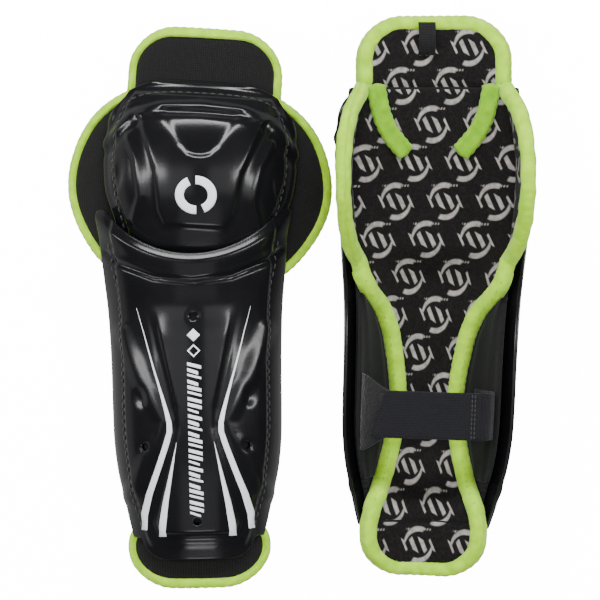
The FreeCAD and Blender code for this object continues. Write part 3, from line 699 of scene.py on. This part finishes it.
def cap_face(x, y):
    return shell_point(CAP, x, y, cap_relief(x, y))


def shin_face(x, y):
    return shell_point(SHIN, x, y, shin_relief(x, y))


def arch_columns(count):
    """Column places from -1 to 1, closer together towards the steep sides."""
    return np.sin(np.linspace(-1, 1, count) * math.radians(74)) / math.sin(math.radians(74))


def make_cap(columns, rows):
    across = arch_columns(columns)[None, :]
    y = np.linspace(27, 150, rows)[:, None] + 0 * across
    x = along(CAP, y)[..., 1] * across
    y = y - 8 * across**4 * ramp(y - 118, 32) + 5 * across**6 * (1 - ramp(y - 27, 18))

    def back(px, py):
        return shell_point(CAP, px, py, 0.55 * cap_relief(px, py) - SHELL_THICK)

    return slab(Piece(), x, y, cap_face, back)


def cap_seam():
    """The stitched line just inside the cap's rim: up one side, over the top and down the other."""
    y = np.linspace(50, 132, 30)
    side = [(0.885 * float(along(CAP, np.array(v))[1]), float(v)) for v in y]
    top = [(x, 142.4 - 7 * (x / 50) ** 4) for x in np.linspace(44, -44, 23)]
    return resample(side + top + [(-x, v) for x, v in reversed(side)], 2.0, rounds=10)


def shin_plan(columns, rows):
    """Plan grid of the shin shell, between its round collar and its toe with round corners."""
    across = arch_columns(columns)[None, :]
    part = np.linspace(0, 1, rows)[:, None]
    toe, toe_half = SHIN[0, 0], SHIN[0, 2]
    y = toe + 228 * part + 0 * across
    for _ in range(5):
        x = along(SHIN, y)[..., 1] * across
        top = COLLAR[0] - np.sqrt(COLLAR[1] ** 2 - np.clip(np.abs(x), 0, 60.5) ** 2)
        over = np.clip(np.abs(x[:1]) - (toe_half - TOE_CORNER), 0, TOE_CORNER - 0.1)
        low = toe + TOE_CORNER - np.sqrt(TOE_CORNER**2 - over**2)
        y = low + (top - low) * part
    return x, y


def make_shin(columns, rows):
    x, y = shin_plan(columns, rows)

    def back(px, py):
        return shell_point(SHIN, px, py, 0.55 * shin_relief(px, py) - SHELL_THICK)

    return slab(Piece(), x, y, shin_face, back, VENTS)


def face_normals(face, x, y):
    """Outward normals of a face at plan points."""
    e = 0.4
    run = face(x + e, y) - face(x - e, y)
    rise = face(x, y + e) - face(x, y - e)
    return unit(np.cross(run, rise))


def seam(piece, face, line):
    """A run of stitches lying on a face along a plan line."""
    dense = resample(line, 0.5, rounds=2)
    solid = face(dense[:, 0], dense[:, 1])
    length = lengths(solid)
    spots = np.arange(STITCH_PITCH, length[-1] - STITCH_PITCH / 2, STITCH_PITCH)
    pick = np.searchsorted(length, spots)
    ways = unit(np.gradient(solid, axis=0)[pick])
    normals = face_normals(face, dense[pick, 0], dense[pick, 1])
    capsules(piece, solid[pick] + normals * 0.15, ways, normals, 3.7, 0.55)


def patch(piece, face, left, right, rise=0.16):
    """A thin film of print between two plan lines, lying on a face."""
    left, right = np.array(left, float), np.array(right, float)
    t = np.linspace(0, 1, max(len(left) * 2, 5 + int(np.linalg.norm(left[0] - left[-1]) / 1.5)))
    source = np.linspace(0, 1, len(left))
    edges = [np.stack([np.interp(t, source, e[:, k]) for k in (0, 1)], axis=-1) for e in (left, right)]
    s = np.linspace(0, 1, 5)[None, :, None]
    plan = edges[0][:, None] * (1 - s) + edges[1][:, None] * s
    x, y = plan[..., 0], plan[..., 1]

    def raised(by):
        return lambda px, py: face(px, py) + face_normals(face, px, py) * by

    slab(piece, x, y, raised(rise), raised(-0.1), bulge=0.2)


def stripe(piece, side, spine, wide):
    """A stripe on one side of the shin shell."""
    edges = [[(side * (x + way * w / 2), y) for (x, y), w in zip(spine, wide)] for way in (-1, 1)]
    patch(piece, shin_face, *edges)


def make_stripes():
    """Two tapering stripes down each side, a row of diamonds and a run of leaning bars."""
    piece = Piece()
    for side in (-1, 1):
        stripe(piece, side, LONG_STRIPE, LONG_STRIPE_WIDE)
        stripe(piece, side, SHORT_STRIPE, SHORT_STRIPE_WIDE)
    patch(piece, shin_face, [(-4.3, -17.3), (0, -21.6)], [(0, -13.0), (4.3, -17.3)])
    for dx, dy in ((1, 1), (1, -1), (-1, -1), (-1, 1)):
        edges = [[(reach * dx, -27.6), (0, -27.6 + reach * dy)] for reach in (4.3, 3.1)]
        patch(piece, shin_face, *edges)
    y = -35.0
    for stroke in range(27):
        tall = (2.3, 2.3, 1.5)[stroke % 3]
        reach = (4.6, 2.6, 4.6)[(stroke + stroke // 3) % 3]
        patch(piece, shin_face, [(-4.4, y), (-4.4, y - tall)], [(reach, y - 2.4), (reach, y - 2.4 - tall)])
        y -= tall + (1.5, 1.5, 2.3)[stroke % 3]
    return piece


def make_emblem():
    """A plain ring broken into two leaning halves."""
    piece = Piece()
    for start in (-62, 118):
        turns = np.radians(np.linspace(start, start + 156, 15))
        outer = [(13.0 * math.cos(a), 74.5 + 12.5 * math.sin(a)) for a in turns]
        inner = [(7.6 * math.cos(a), 74.5 + 7.0 * math.sin(a)) for a in turns]
        patch(piece, cap_face, outer, inner, 0.3)
    return piece


# ---------------------------------------------------------------- soft pieces

def knee_to_shin(y):
    """How far a point of the lining has gone over from the shin's arch to the knee's."""
    return ramp(y - 2, 34)


def lining_points(guard, knee, x, y, depth):
    """Points of the leg channel's lining in the row frame, depth below its outer face."""
    shin = liner_point(x, y, depth)
    tongue = arc_point(TONGUE["crest"], TONGUE["radius"], x, y, depth * TONGUE["thick"] / LINER_THICK)
    gone = ramp(-124 - y, 20)[..., None]
    shin = shin * (1 - gone) + tongue * gone
    upper = arc_point(*KNEE_LINER, x, y, depth)
    share = knee_to_shin(y)[..., None]
    return guard.points(shin) * (1 - share) + knee.points(upper) * share


def swell(x, half, rim=7.0):
    """A pad's fullness across its width: thin at its bound edges, full inside."""
    return 0.55 + 0.45 * np.sqrt(np.clip(1 - (1 - np.clip((half - np.abs(x)) / rim, 0, 1)) ** 2, 0, 1))


def make_lining(guard, knee):
    """One quilted lining from the tongue to the top of the knee, through the knee's bend."""
    stretches = ((-149, -6, 70), (-4, 44, 34), (46, 138, 40))  # from, to and how many rows
    y = np.concatenate([np.linspace(*stretch) for stretch in stretches])[:, None]
    half = along(LINING, y)[..., 0] - 4.4 + 5.4 * ramp(y - 22, 14)
    x = half * np.linspace(-1, 1, 57)[None, :]
    y = y + 0 * x
    dimple = 0.5 * np.sin(x / 9.0 + y / 23.0) * np.sin(y / 14.0 - x / 31.0)

    def front(px, py):
        return np.stack([px, py, np.zeros_like(px)], axis=-1)

    def back(px, py):
        full = swell(px, half)
        return np.stack([px, py, 0.8 + (LINER_THICK - 0.8) * full + dimple], axis=-1)

    piece = slab(Piece(), x, y, front, back, bulge=0.5, back_index=1)

    def place(local):
        return lining_points(guard, knee, local[:, 0], local[:, 1], local[:, 2])

    return piece, place


def pad_way(pad):
    """1 where a flap runs up the leg, -1 where it runs down."""
    return math.copysign(1, pad["end"] - pad["root"])


def pad_outline(pad):
    """Plan outline of a flap: up one side, round its corners and down the other."""
    way = pad_way(pad)
    half, corner = pad["half"], pad["corner"]
    high = pad["end"] - way * corner
    points = [(half, pad["root"])]
    points += [
        (half - corner + corner * math.cos(a), high + way * corner * math.sin(a))
        for a in np.linspace(0, math.pi / 2, 12)
    ]
    points += [(-x, y) for x, y in reversed(points)]
    return arched(pad, *np.array(points).T)


def arched(pad, x, y):
    """Plan points of a flap with its end bowed outwards."""
    share = np.clip((y - pad["root"]) / (pad["end"] - pad["root"]), 0, 1)
    way = pad_way(pad)
    return np.stack([x, y - way * pad["arch"] * (x / pad["half"]) ** 2 * share**2], axis=-1)


def inset_line(points, by):
    """The line moved inwards, to the left of its direction."""
    dense = resample(points, 1.5, rounds=2)
    way = unit(np.gradient(dense, axis=0))
    return dense + by * np.stack([-way[:, 1], way[:, 0]], axis=-1)


def pad_lift(pad):
    """The function from a flap's plan, and a height above its middle, to local points."""
    middle = pad["thick"] / 2

    def lift(x, y, height):
        return arc_point(pad["crest"], pad["radius"], x, y, middle - height)

    return lift


def make_pad(rows_x, rows_y, lift, thick, crown):
    """A filled pad over a plan grid: rounded thin at its edges, crowned in the middle."""
    low, high = rows_x.min(axis=1, keepdims=True), rows_x.max(axis=1, keepdims=True)
    end = np.minimum(rows_y - rows_y.min(), rows_y.max() - rows_y)
    edge = np.clip(np.minimum(np.minimum(rows_x - low, high - rows_x), end) / 9.0, 0, 1)
    full = (0.5 + 0.5 * np.sqrt(1 - (1 - edge) ** 2)) * thick / 2 + crown * ramp(edge * 9 - 3, 18)

    def front(x, y):
        return lift(x, y, full)

    def back(x, y):
        return lift(x, y, -full)

    return slab(Piece(), rows_x, rows_y, front, back, bulge=0.5, back_index=1)


def build_pad(name, place, grid, lift, thick, crown, cap):
    """A filled pad; cap limits how far its filling moves it, in mm."""
    pad = make_pad(*grid, lift, thick, crown).build(name + "_pad", place, [RIBBED, PRINTED])
    inflate(pad, cap)
    return smooth_up(pad)


def flap_grid(pad, inset, rows, columns):
    way = pad_way(pad)
    corner = pad["corner"] - inset
    reach = abs(pad["end"] - pad["root"]) - inset
    t = np.sin(np.linspace(0, math.pi / 2, rows))[:, None] * (reach - 0.4)
    over = np.clip(t - (reach - corner), 0, corner)
    half = pad["half"] - inset - corner + np.sqrt(np.clip(corner**2 - over**2, 0, None))
    x = half * np.linspace(-1, 1, columns)[None, :]
    return np.moveaxis(arched(pad, x, pad["root"] + way * t + 0 * x), -1, 0)


def wing_grid(inset, rows, columns):
    """Plan of a wing: from under the knee cap out to its round edge."""
    radius = WING_RADIUS - inset
    centre = WING_REACH - WING_RADIUS
    start = -5.0
    reach = math.sqrt(radius**2 - (start + 1.5 - centre) ** 2)
    y = WING_MIDDLE + reach * np.sin(np.linspace(-math.pi / 2, math.pi / 2, rows))[:, None]
    far = centre + np.sqrt(radius**2 - (y - WING_MIDDLE) ** 2)
    x = start + (far - start) * np.linspace(0, 1, columns)[None, :]
    return x, y + 0 * x


def inflate(obj, cap):
    """Fills a closed pad: a short cloth run under pressure, its movement capped, with the rim held."""
    mesh = obj.data
    rest = np.array([v.co for v in mesh.vertices])
    group = obj.vertex_groups.new(name="rim")
    seams = {v for e in rim_edges(mesh) for v in e}
    group.add(sorted(seams), 1.0, "REPLACE")
    cloth = obj.modifiers.new("fill", "CLOTH")
    cloth.settings.vertex_group_mass = "rim"
    cloth.settings.use_pressure = True
    cloth.settings.uniform_pressure_force = 4.0
    cloth.settings.effector_weights.gravity = 0
    cloth.settings.quality = 5
    cloth.settings.tension_stiffness = 30
    cloth.settings.compression_stiffness = 30
    cloth.settings.bending_stiffness = 2
    cloth.point_cache.frame_start = 1
    cloth.point_cache.frame_end = FILL_FRAMES
    scene = bpy.context.scene
    for number in range(1, FILL_FRAMES + 1):
        scene.frame_set(number)
    shape = obj.evaluated_get(bpy.context.evaluated_depsgraph_get()).to_mesh()
    moved = np.array([v.co for v in shape.vertices])
    obj.modifiers.remove(cloth)
    obj.vertex_groups.remove(group)
    scene.frame_set(1)
    shift = moved - rest
    far = np.linalg.norm(shift, axis=1, keepdims=True)
    shift *= np.minimum(1, cap * MM / np.maximum(far, 1e-9))
    if np.isfinite(shift).all():
        mesh.vertices.foreach_set("co", (rest + shift).astype(np.float32).ravel())
        mesh.update()


def rim_edges(mesh):
    """Edges where a pad's front material meets its back material."""
    seen = {}
    for polygon in mesh.polygons:
        for key in polygon.edge_keys:
            if key in seen and seen[key] != polygon.material_index:
                yield key
            seen[key] = polygon.material_index


def smooth_up(obj):
    """One subdivision, applied, for a soft outline."""
    level = obj.modifiers.new("round", "SUBSURF")
    level.levels = 1
    level.render_levels = 1
    graph = bpy.context.evaluated_depsgraph_get()
    mesh = bpy.data.meshes.new_from_object(obj.evaluated_get(graph), depsgraph=graph)
    obj.modifiers.clear()
    old = obj.data
    obj.data = mesh
    bpy.data.meshes.remove(old)
    return obj


def soft(obj, slot_name, nodes, fill=0.6):
    """Hides the CAD nodes that a pad stands for."""
    return stands(obj, slot_name, nodes)


def stands(obj, slot_name, nodes):
    """Hides the CAD nodes that a piece stands for."""
    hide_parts(*nodes)
    return obj


def bind(name, place, path, faces, node, size=(BAND_WIDE, BAND_THICK), cloth=LIME, fill=0.8, **form):
    """A binding along a path, its CAD node hidden, and its threads. Returns both objects.
    The threads are on the leg's side: next to the pad where there is one, else along both edges."""
    edging = band(path, faces, *size, **form).build(name + "_edging", place, [cloth])
    soft(edging, "lime_binding", [node], fill)
    inward = form.get("inward")
    edges, sides = ((inward,), (-1,)) if inward else ((-1, 1), (1,))
    threads = sew(path, faces, *size, edges, sides).build(name + "_threads", place, [LIME_THREAD])
    return edging, threads


def along_lift(lift, line):
    """Path and face normals of a binding over a plan line, in the middle of a pad."""
    x, y = line.T
    path = lift(x, y, np.zeros(len(line)))
    return path, lift(x, y, np.ones(len(line))) - path


# ---------------------------------------------------------------- one guard

def dress(name):
    """Builds every visible piece of one guard."""
    guard = place_from(f"{name}_knee_hinge", KNEE_HINGE, f"{name}_tongue_hinge", TONGUE_HINGE)
    knee = place_from(f"{name}_flap_hinge", FLAP_HINGE, f"{name}_knee_hinge", KNEE_HINGE)
    dress_shells(name, guard, knee)
    dress_foam(name, guard, knee)
    dress_lining(name, guard, knee)
    dress_flap(name, knee)
    dress_tongue(name, guard, knee)
    for label, side in (("outer", -1), ("inner", 1)):
        dress_wing(name, guard, knee, label, side)
        dress_channel(name, guard, knee, label, side)
        dress_notch(name, knee, label, side)
    dress_strap(name, guard)


def dress_shells(name, guard, knee):
    body = f"{name}_shin"
    shell = make_shin(121, 190).build(f"{name}_shin_shell_skin", guard, [GLOSS])
    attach(stands(shell, "black_shell", [f"{name}_shin_shell"]), body)
    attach(make_stripes().build(f"{name}_shin_stripes", guard, [WHITE]), body)
    threads = Piece()
    for side in (-1, 1):
        seam(threads, shin_face, [(side * x, y) for x, y in SHIN_STITCHES])
    threads = threads.build(f"{name}_shin_threads", guard, [THREAD])
    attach(stands(threads, "black_thread", [f"{name}_shin_stitching"]), body)
    body = f"{name}_knee"
    cap = make_cap(121, 112).build(f"{name}_knee_cap_skin", knee, [GLOSS])
    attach(stands(cap, "black_shell", [f"{name}_knee_cap"]), body)
    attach(make_emblem().build(f"{name}_knee_ring", knee, [WHITE]), body)
    threads = Piece()
    seam(threads, cap_face, cap_seam())
    threads = threads.build(f"{name}_knee_threads", knee, [THREAD])
    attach(stands(threads, "black_thread", [f"{name}_knee_stitching"]), body)


def dress_foam(name, guard, knee):
    """The foam layers between the shells and the lining."""
    y = np.linspace(-140, 20, 60)[:, None]
    x = (along(SHIN, y)[..., 1] - 4.6) * arch_columns(41)[None, :]
    y = y + 0 * x

    def layer(table, depth):
        return lambda px, py: shell_point(table, px, py, -depth)

    foam = slab(Piece(), x, y, layer(SHIN, 3.4), layer(SHIN, 7.7))
    foam = foam.build(f"{name}_backing_pad", guard, [FOAM])
    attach(soft(foam, "black_foam", [f"{name}_backing_foam"], 0.8), f"{name}_shin")
    y = np.linspace(56, 124, 30)[:, None]
    x = 42 * np.linspace(-1, 1, 31)[None, :]
    y = y + 0 * x
    edge = np.minimum(42 - np.abs(x), np.minimum(y - 56, 124 - y))
    thick = 6.0 + 3.6 * ramp(edge, 10)

    def under(px, py):
        return shell_point(CAP, px, py, -3.2 - thick)

    foam = slab(Piece(), x, y, layer(CAP, 3.2), under).build(f"{name}_knee_pad", knee, [FOAM])
    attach(soft(foam, "black_foam", [f"{name}_knee_foam"], 0.8), f"{name}_knee")


def dress_lining(name, guard, knee):
    piece, place = make_lining(guard, knee)
    lining = piece.build(f"{name}_channel_lining", place, [RIBBED, PRINTED])
    soft(lining, "black_mesh", [f"{name}_shin_liner", f"{name}_knee_liner"], 0.6)
    guard.point(0, 14, 40)
    guard.point(0, 42, 40)
    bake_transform(lining)


def make_hanger(lift):
    """The loop of webbing standing off the flap's back."""
    low, high = 161.0, 182.0
    y = np.linspace(low, high, 33)[:, None]
    x = 5.0 + 6 * np.linspace(-1, 1, 13)[None, :]
    rise = 4.6 * np.sin(math.pi * (y - low) / (high - low)) ** 0.7

    def layer(depth):
        return lambda px, py: lift(px, py, -FLAP["thick"] / 2 - depth - rise)

    return slab(Piece(), x, y, layer(0.6), layer(1.8))


def dress_flap(name, knee):
    lift = pad_lift(FLAP)
    grid = flap_grid(FLAP, PAD_INSET, 20, 31)
    flap = build_pad(f"{name}_flap", knee, grid, lift, FLAP["thick"], crown=1.0, cap=1.2)
    soft(flap, "black_mesh", [f"{name}_top_flap"])
    path, faces = along_lift(lift, inset_line(pad_outline(FLAP), BAND_INSET))
    binding = bind(f"{name}_flap", knee, path, faces, f"{name}_top_flap_binding", seed=1.3, inward=-1)
    start, end = knee.point(0, 137, 38), knee.point(0, 143, 38)
    for obj in (flap, *binding):
        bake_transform(obj)
        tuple(start)
        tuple(end)
    loop = make_hanger(lift).build(f"{name}_hanger", knee, [LOOP_WEBBING])
    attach(stands(loop, "black_webbing", [f"{name}_hang_loop"]), f"{name}_flap")


def dress_tongue(name, guard, knee):
    level = pad_lift(TONGUE)
    flare = 0.15 if name == "left" else 0.0

    def lift(x, y, height):
        points = level(x, y, height)
        points[..., 0] *= 1 + flare * ramp(-144 - y, 13)
        return points

    grid = flap_grid(TONGUE, PAD_INSET, 18, 31)
    tongue = build_pad(f"{name}_tongue", guard, grid, lift, TONGUE["thick"], crown=0.8, cap=1.0)
    soft(tongue, "black_mesh", [f"{name}_tongue"])
    line = inset_line(pad_outline(TONGUE)[::-1], BAND_INSET)
    path, faces = along_lift(lift, line[3:-3])
    path, faces = guard.points(path) / MM, faces @ guard.axes.T
    ends = [on_channel(guard, knee, side, np.array([-126.0, -132.0, -138.0, -143.0])) for side in (-1, 1)]
    path = np.concatenate([ends[0][0], path, ends[1][0][::-1]])
    faces = np.concatenate([-ends[0][1], faces, -ends[1][1][::-1]])
    path, faces = evened(path, faces)
    binding = bind(f"{name}_tongue", in_row, path, faces, f"{name}_tongue_binding", seed=2.9, inward=-1)
    start, end = guard.point(0, -145, 27), guard.point(0, -153, 27)
    for obj in (tongue, *binding):
        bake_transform(obj)
        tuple(start)
        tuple(end)


def in_row(local):
    """Places points that are in mm in the row frame already."""
    return local * MM


def on_knee(knee, side, plan):
    """Points in the middle of the knee's lining, with their face normals, in row-frame mm."""
    x, y = np.array(plan, float).T * [[side], [1]]
    middle = knee.points(arc_point(*KNEE_LINER, x, y, LINER_THICK / 2)) / MM
    return middle, knee.points(arc_point(*KNEE_LINER, x, y, LINER_THICK / 2 - 1)) / MM - middle


def on_channel(guard, knee, side, y):
    """Centre line of the channel's binding at heights y, with its face normals, in row-frame mm."""
    half = along(LINING, y)[..., 0] - 4.7
    middle = lining_points(guard, knee, side * half, y, 5.0) / MM
    return middle, lining_points(guard, knee, side * half, y, 6.0) / MM - middle


def evened(path, faces):
    """The path in even steps, each with the normal of its nearest old point."""
    even = resample(path, 1.5, rounds=3)
    faces = faces[nearest(path, even)]
    for _ in range(6):
        faces[1:-1] = (faces[:-2] + 2 * faces[1:-1] + faces[2:]) / 4
    return even, unit(faces)


def dress_wing(name, guard, knee, label, side):
    label = f"{name}_{label}"
    droop = 18 - joint(f"{label}_wing_hinge")["range_deg"][0]
    place = wing_place(knee, side, droop)
    hangs = droop > 60
    curl, gather = (math.radians(22), 12.0) if hangs else (0.0, 0.0)

    def lift(x, y, height):
        up = (y - WING_MIDDLE) / WING_RADIUS
        height = height - gather * up**2 * (0.85 + 0.25 * up)
        x = x * (1 - (0.3 - 0.5 * up) * up**2 * (1 - up**2))
        turn = curl * np.clip(x, 0, None) / WING_REACH
        out = x * np.cos(turn / 2) + height * np.sin(turn)
        return np.stack([out, y, height * np.cos(turn) - x * np.sin(turn / 2)], axis=-1)

    grid = wing_grid(PAD_INSET, 34, 15)
    wing = build_pad(f"{label}_wing", place, grid, lift, WING_THICK, crown=0.8, cap=1.2)
    soft(wing, "black_mesh", [f"{label}_wing"])
    radius, centre = WING_RADIUS - BAND_INSET, WING_REACH - WING_RADIUS
    turn = math.acos((-4.0 - centre) / radius)
    turns = np.linspace(-turn, turn, 90)
    line = np.stack([centre + radius * np.cos(turns), WING_MIDDLE + radius * np.sin(turns)], axis=-1)
    path, faces = along_lift(lift, line)
    path, faces = place.points(path) / MM, faces @ place.axes.T
    top, top_faces = on_knee(knee, side, [(43, 141.5), (47, 141), (50, 139.5)])
    low, low_faces = on_channel(guard, knee, side, np.array([24.0, 19.0, 14.0, 8.0, 2.0]))
    path = np.concatenate([low[::-1], path, top[::-1]])
    faces = np.concatenate([-low_faces[::-1], faces, top_faces[::-1]])
    path, faces = evened(path, faces)
    binding = bind(f"{label}_wing", in_row, path, faces, f"{label}_wing_binding",
                   (BAND_WIDE, 10.4), seed=4.1 + side, inward=-side)
    start, end = place.point(-2, WING_MIDDLE, 0), place.point(5, WING_MIDDLE, 0)
    for obj in (wing, *binding):
        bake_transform(obj)
        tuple(start)
        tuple(end)


def dress_channel(name, guard, knee, label, side):
    """The binding down one side of the leg channel, and the calf panel outside it."""
    path, faces = evened(*on_channel(guard, knee, side, np.linspace(-147, 22, 140)))
    label = f"{name}_{label}"
    binding = bind(f"{label}_channel", in_row, path, faces, f"{label}_shin_binding",
                   (10.8, 11.6), seed=5.0 + 2 * side)
    for obj in binding:
        guard.point(0, 12, 40)
        guard.point(0, 40, 40)
        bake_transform(obj)
    y = np.linspace(-120, 2, 56)[:, None]
    low = along(LINING, y)[..., 0] + 0.6
    high = along(SHIN, y)[..., 1] - 8.4
    share = np.linspace(0, 1, 17)[None, :]
    x = low + (np.maximum(high, low + 0.6) - low) * share
    y = y + 0 * x
    edge = np.minimum(share, 1 - share) * 4
    puff = 1.6 + 2.0 * ramp(edge, 1.0)

    def panel(depth):
        return lambda px, py: liner_point(side * px, py, depth)

    calf = slab(Piece(), x, y, panel(0.3), panel(1.0 + puff), bulge=0.6)
    calf = calf.build(f"{label}_calf_pad", guard, [PANEL])
    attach(soft(calf, "black_panel", [f"{label}_calf_panel"], 0.5), f"{name}_shin")


def dress_notch(name, knee, label, side):
    """The lime loop sewn on the lining beside the knee hollow, creased along its middle."""
    start, end = np.array([side * 43.0, 142.0]), np.array([side * 19.0, 95.0])
    bow = np.array([side * 5.0, -3.0])
    t = np.linspace(0, 1, 50)[:, None]
    line = start * (1 - t) + end * t + bow * np.sin(math.pi * t)
    x, y = line.T
    path = arc_point(*KNEE_LINER, x, y, LINER_THICK + 1.2)
    faces = arc_point(*KNEE_LINER, x, y, LINER_THICK + 2.2) - path
    label = f"{name}_{label}_notch"
    # The loop takes the darker lime copy, whose deeper colour is painted shade.
    for obj in bind(label, knee, path, faces, f"{label}_binding", (13.0, 6.6), SHADED_LIME, 0.7,
                    seed=7.0 + side, groove=0.55):
        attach(obj, f"{name}_knee")


def ribbon(path, width_at, thick, y_middle, wave=0.0):
    """A strap: path is its (x, z) line; width_at gives (low, high) of y along it. Returns its piece."""
    line = resample(path, 1.2, rounds=3)
    way = unit(np.gradient(line, axis=0))
    normal = np.stack([-way[:, 1], way[:, 0]], axis=-1)
    t = np.linspace(0, 1, len(line))
    low, high = width_at(line[:, 0])
    share = np.linspace(0, 1, 19)[None, :]
    y = y_middle + low[:, None] * (1 - share) + high[:, None] * share
    bow = wave * np.sin(t * 9.0)[:, None] * (share - 0.5) + wave * 0.5 * np.sin(t[:, None] * 5 + share * 4)

    def face(side):
        def points(px, py):
            shift = bow + side * thick / 2
            x = line[:, :1] + normal[:, :1] * shift
            z = line[:, 1:] + normal[:, 1:] * shift
            return np.stack([x, y, z], axis=-1)
        return points

    return slab(Piece(), lengths(line)[:, None] + 0 * y, y, face(1), face(-1))


def even_width(half):
    """The width_at of a ribbon that is as wide all along."""
    return lambda x: (np.full(len(x), -half), np.full(len(x), half))


def dress_strap(name, guard):
    """The calf strap: elastic from the shell's side, a hook-backed tab, and the loop panel that it grips."""
    middle, half = -76.0, 15.0
    straight = even_width(half)
    anchor = ribbon([(-32, 35.2), (-36.5, 30.5), (-40, 24), (-41.4, 21)], straight, 1.7, middle)
    anchor = anchor.build(f"{name}_strap_sewn_end", guard, [ELASTIC])
    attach(stands(anchor, "grey_elastic", [f"{name}_strap_anchor"]), f"{name}_shin")
    path = [(-41.2, 23), (-42.6, 17), (-42.2, 12.5), (-40, 8.4), (-36, 6.3), (-30.5, 5.7)]
    elastic = ribbon(path, straight, 2.0, middle, 0.3).build(f"{name}_strap_band", guard, [ELASTIC])
    stands(elastic, "grey_elastic", [f"{name}_strap_elastic"])
    guard.point(-43, -76, 17)
    guard.point(-43, -76, 9)
    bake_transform(elastic)

    path = [(-33, 5.6), (-22, 5.4), (0, 5.2), (20, 5.3), (34, 5.6)]
    tab = ribbon(path, straight, 1.8, middle, 0.15)
    points = tab.points[0]
    share = (points[:, 1] - middle + half) / (2 * half)
    points[:, 0] += ramp(points[:, 0] + 33, 71) * (4.0 - 9.5 * share)  # its far end is cut on a slant
    tab = tab.build(f"{name}_strap_tail", guard, [WEBBING])
    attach(stands(tab, "grey_webbing", [f"{name}_strap_tab"]), f"{name}_strap_tab")
    threads = Piece()
    for x in (-30.2, -28.2):
        centres = np.array([(x, middle + at, 4.45) for at in np.arange(-13.5, 14, 3.0)])
        ways, normals = (np.broadcast_to(v, centres.shape) for v in ([0.0, 1.0, 0.0], [0.0, 0.0, -1.0]))
        capsules(threads, centres, ways, normals, 2.2, 0.35)
    threads = threads.build(f"{name}_strap_threads", guard, [THREAD])
    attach(threads, f"{name}_strap_tab")

    hook = ribbon([(6, 6.9), (20, 6.9), (32, 7.1)], even_width(half - 2), 1.2, middle)
    hook = hook.build(f"{name}_hook_tape", guard, [HOOK])
    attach(stands(hook, "black_hook", [f"{name}_hook_patch"]), f"{name}_strap_tab")

    def wedge(x):
        spread = ramp(x - 24, 22)
        return -14.6 - 11 * spread, 14.6 + 10 * spread

    path = [(4, 8.5), (22, 8.6), (36, 9.8), (42, 13.5), (44.5, 19), (44, 25)]
    panel = ribbon(path, wedge, 1.6, middle, 0.6).build(f"{name}_loop_tape", guard, [FUZZ])
    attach(stands(panel, "black_loop", [f"{name}_loop_panel"]), f"{name}_shin")


for guard_name in ("left", "right"):
    dress(guard_name)


# ---------------------------------------------------------------- studio

def make_floor():
    """A pale flat floor: white to the camera, duller in what it gives back to the pieces."""
    bm = bmesh.new()
    size, steps = 3.0, 8
    for i in range(steps + 1):
        for j in range(steps + 1):
            bm.verts.new(((i / steps - 0.5) * size * 2, (j / steps - 0.5) * size * 2, -0.0006))
    bm.verts.ensure_lookup_table()
    for i in range(steps):
        for j in range(steps):
            a = i * (steps + 1) + j
            bm.faces.new([bm.verts[k] for k in (a, a + steps + 1, a + steps + 2, a + 1)])
    mesh = bpy.data.meshes.new("studio_floor")
    bm.to_mesh(mesh)
    bm.free()
    p = Paint("studio_white", Roughness=0.9, Specular_IOR_Level=0.1)
    p.fill(p.shader, "Emission Color", (1.0, 1.0, 1.0))
    seen = p.add("LightPath")
    p.fill(p.shader, "Base Color", p.mix(seen, (0.22, 0.22, 0.22), (0.9, 0.9, 0.9)))
    p.fill(p.shader, "Emission Strength", p.between(seen, 0.1, 14.0))
    mesh.materials.append(p.material)
    floor = bpy.data.objects.new("studio_floor", mesh)
    bpy.context.scene.collection.objects.link(floor)


def add_light(name, at, size, power, mirrored_in_gloss=True):
    light = bpy.data.lights.new(name, "AREA")
    light.shape = "RECTANGLE"
    light.size, light.size_y = size
    light.energy = power
    obj = bpy.data.objects.new(name, light)
    obj.location = at
    obj.visible_glossy = mirrored_in_gloss
    obj.rotation_euler = (Vector((0, 0, 0.03)) - Vector(at)).to_track_quat("-Z", "Y").to_euler()
    bpy.context.scene.collection.objects.link(obj)


def light_studio():
    add_light("left_strip", (-1.3, 0.2, 0.8), (0.16, 1.2), 10)
    add_light("right_strip", (1.3, 0.1, 0.9), (0.16, 1.2), 10)
    add_light("far_strip", (0.0, 1.4, 1.05), (2.2, 0.3), 50)
    add_light("near_softbox", (0.0, -1.5, 1.1), (1.0, 0.4), 7)
    add_light("left_panel", (-0.95, 0.0, 1.5), (0.6, 1.6), 3.6)
    add_light("right_panel", (0.95, 0.0, 1.5), (0.6, 1.6), 3.6)
    add_light("near_panel", (0.0, -1.0, 1.6), (1.6, 0.9), 2.8)
    add_light("overhead_fill", (0.0, 0.0, 2.4), (1.8, 1.8), 46, mirrored_in_gloss=False)
    world = bpy.data.worlds.new("studio")
    world.use_nodes = True
    nodes, links = world.node_tree.nodes, world.node_tree.links
    nodes["Background"].inputs["Color"].default_value = (1, 1, 1, 1)
    seen = nodes.new("ShaderNodeLightPath")
    strength = nodes.new("ShaderNodeMath")
    strength.operation = "MULTIPLY_ADD"
    strength.inputs[1].default_value = 14.0
    strength.inputs[2].default_value = 0.06
    links.new(seen.outputs["Is Camera Ray"], strength.inputs[0])
    links.new(strength.outputs[0], nodes["Background"].inputs["Strength"])
    bpy.context.scene.world = world


def set_camera():
    data = bpy.data.cameras.new("camera")
    data.sensor_width = 36
    data.lens = 176.9
    camera = bpy.data.objects.new("camera", data)
    camera.location = (0, 0.0027, 2.0)
    bpy.context.scene.collection.objects.link(camera)
    bpy.context.scene.camera = camera


make_floor()
light_studio()
set_camera()
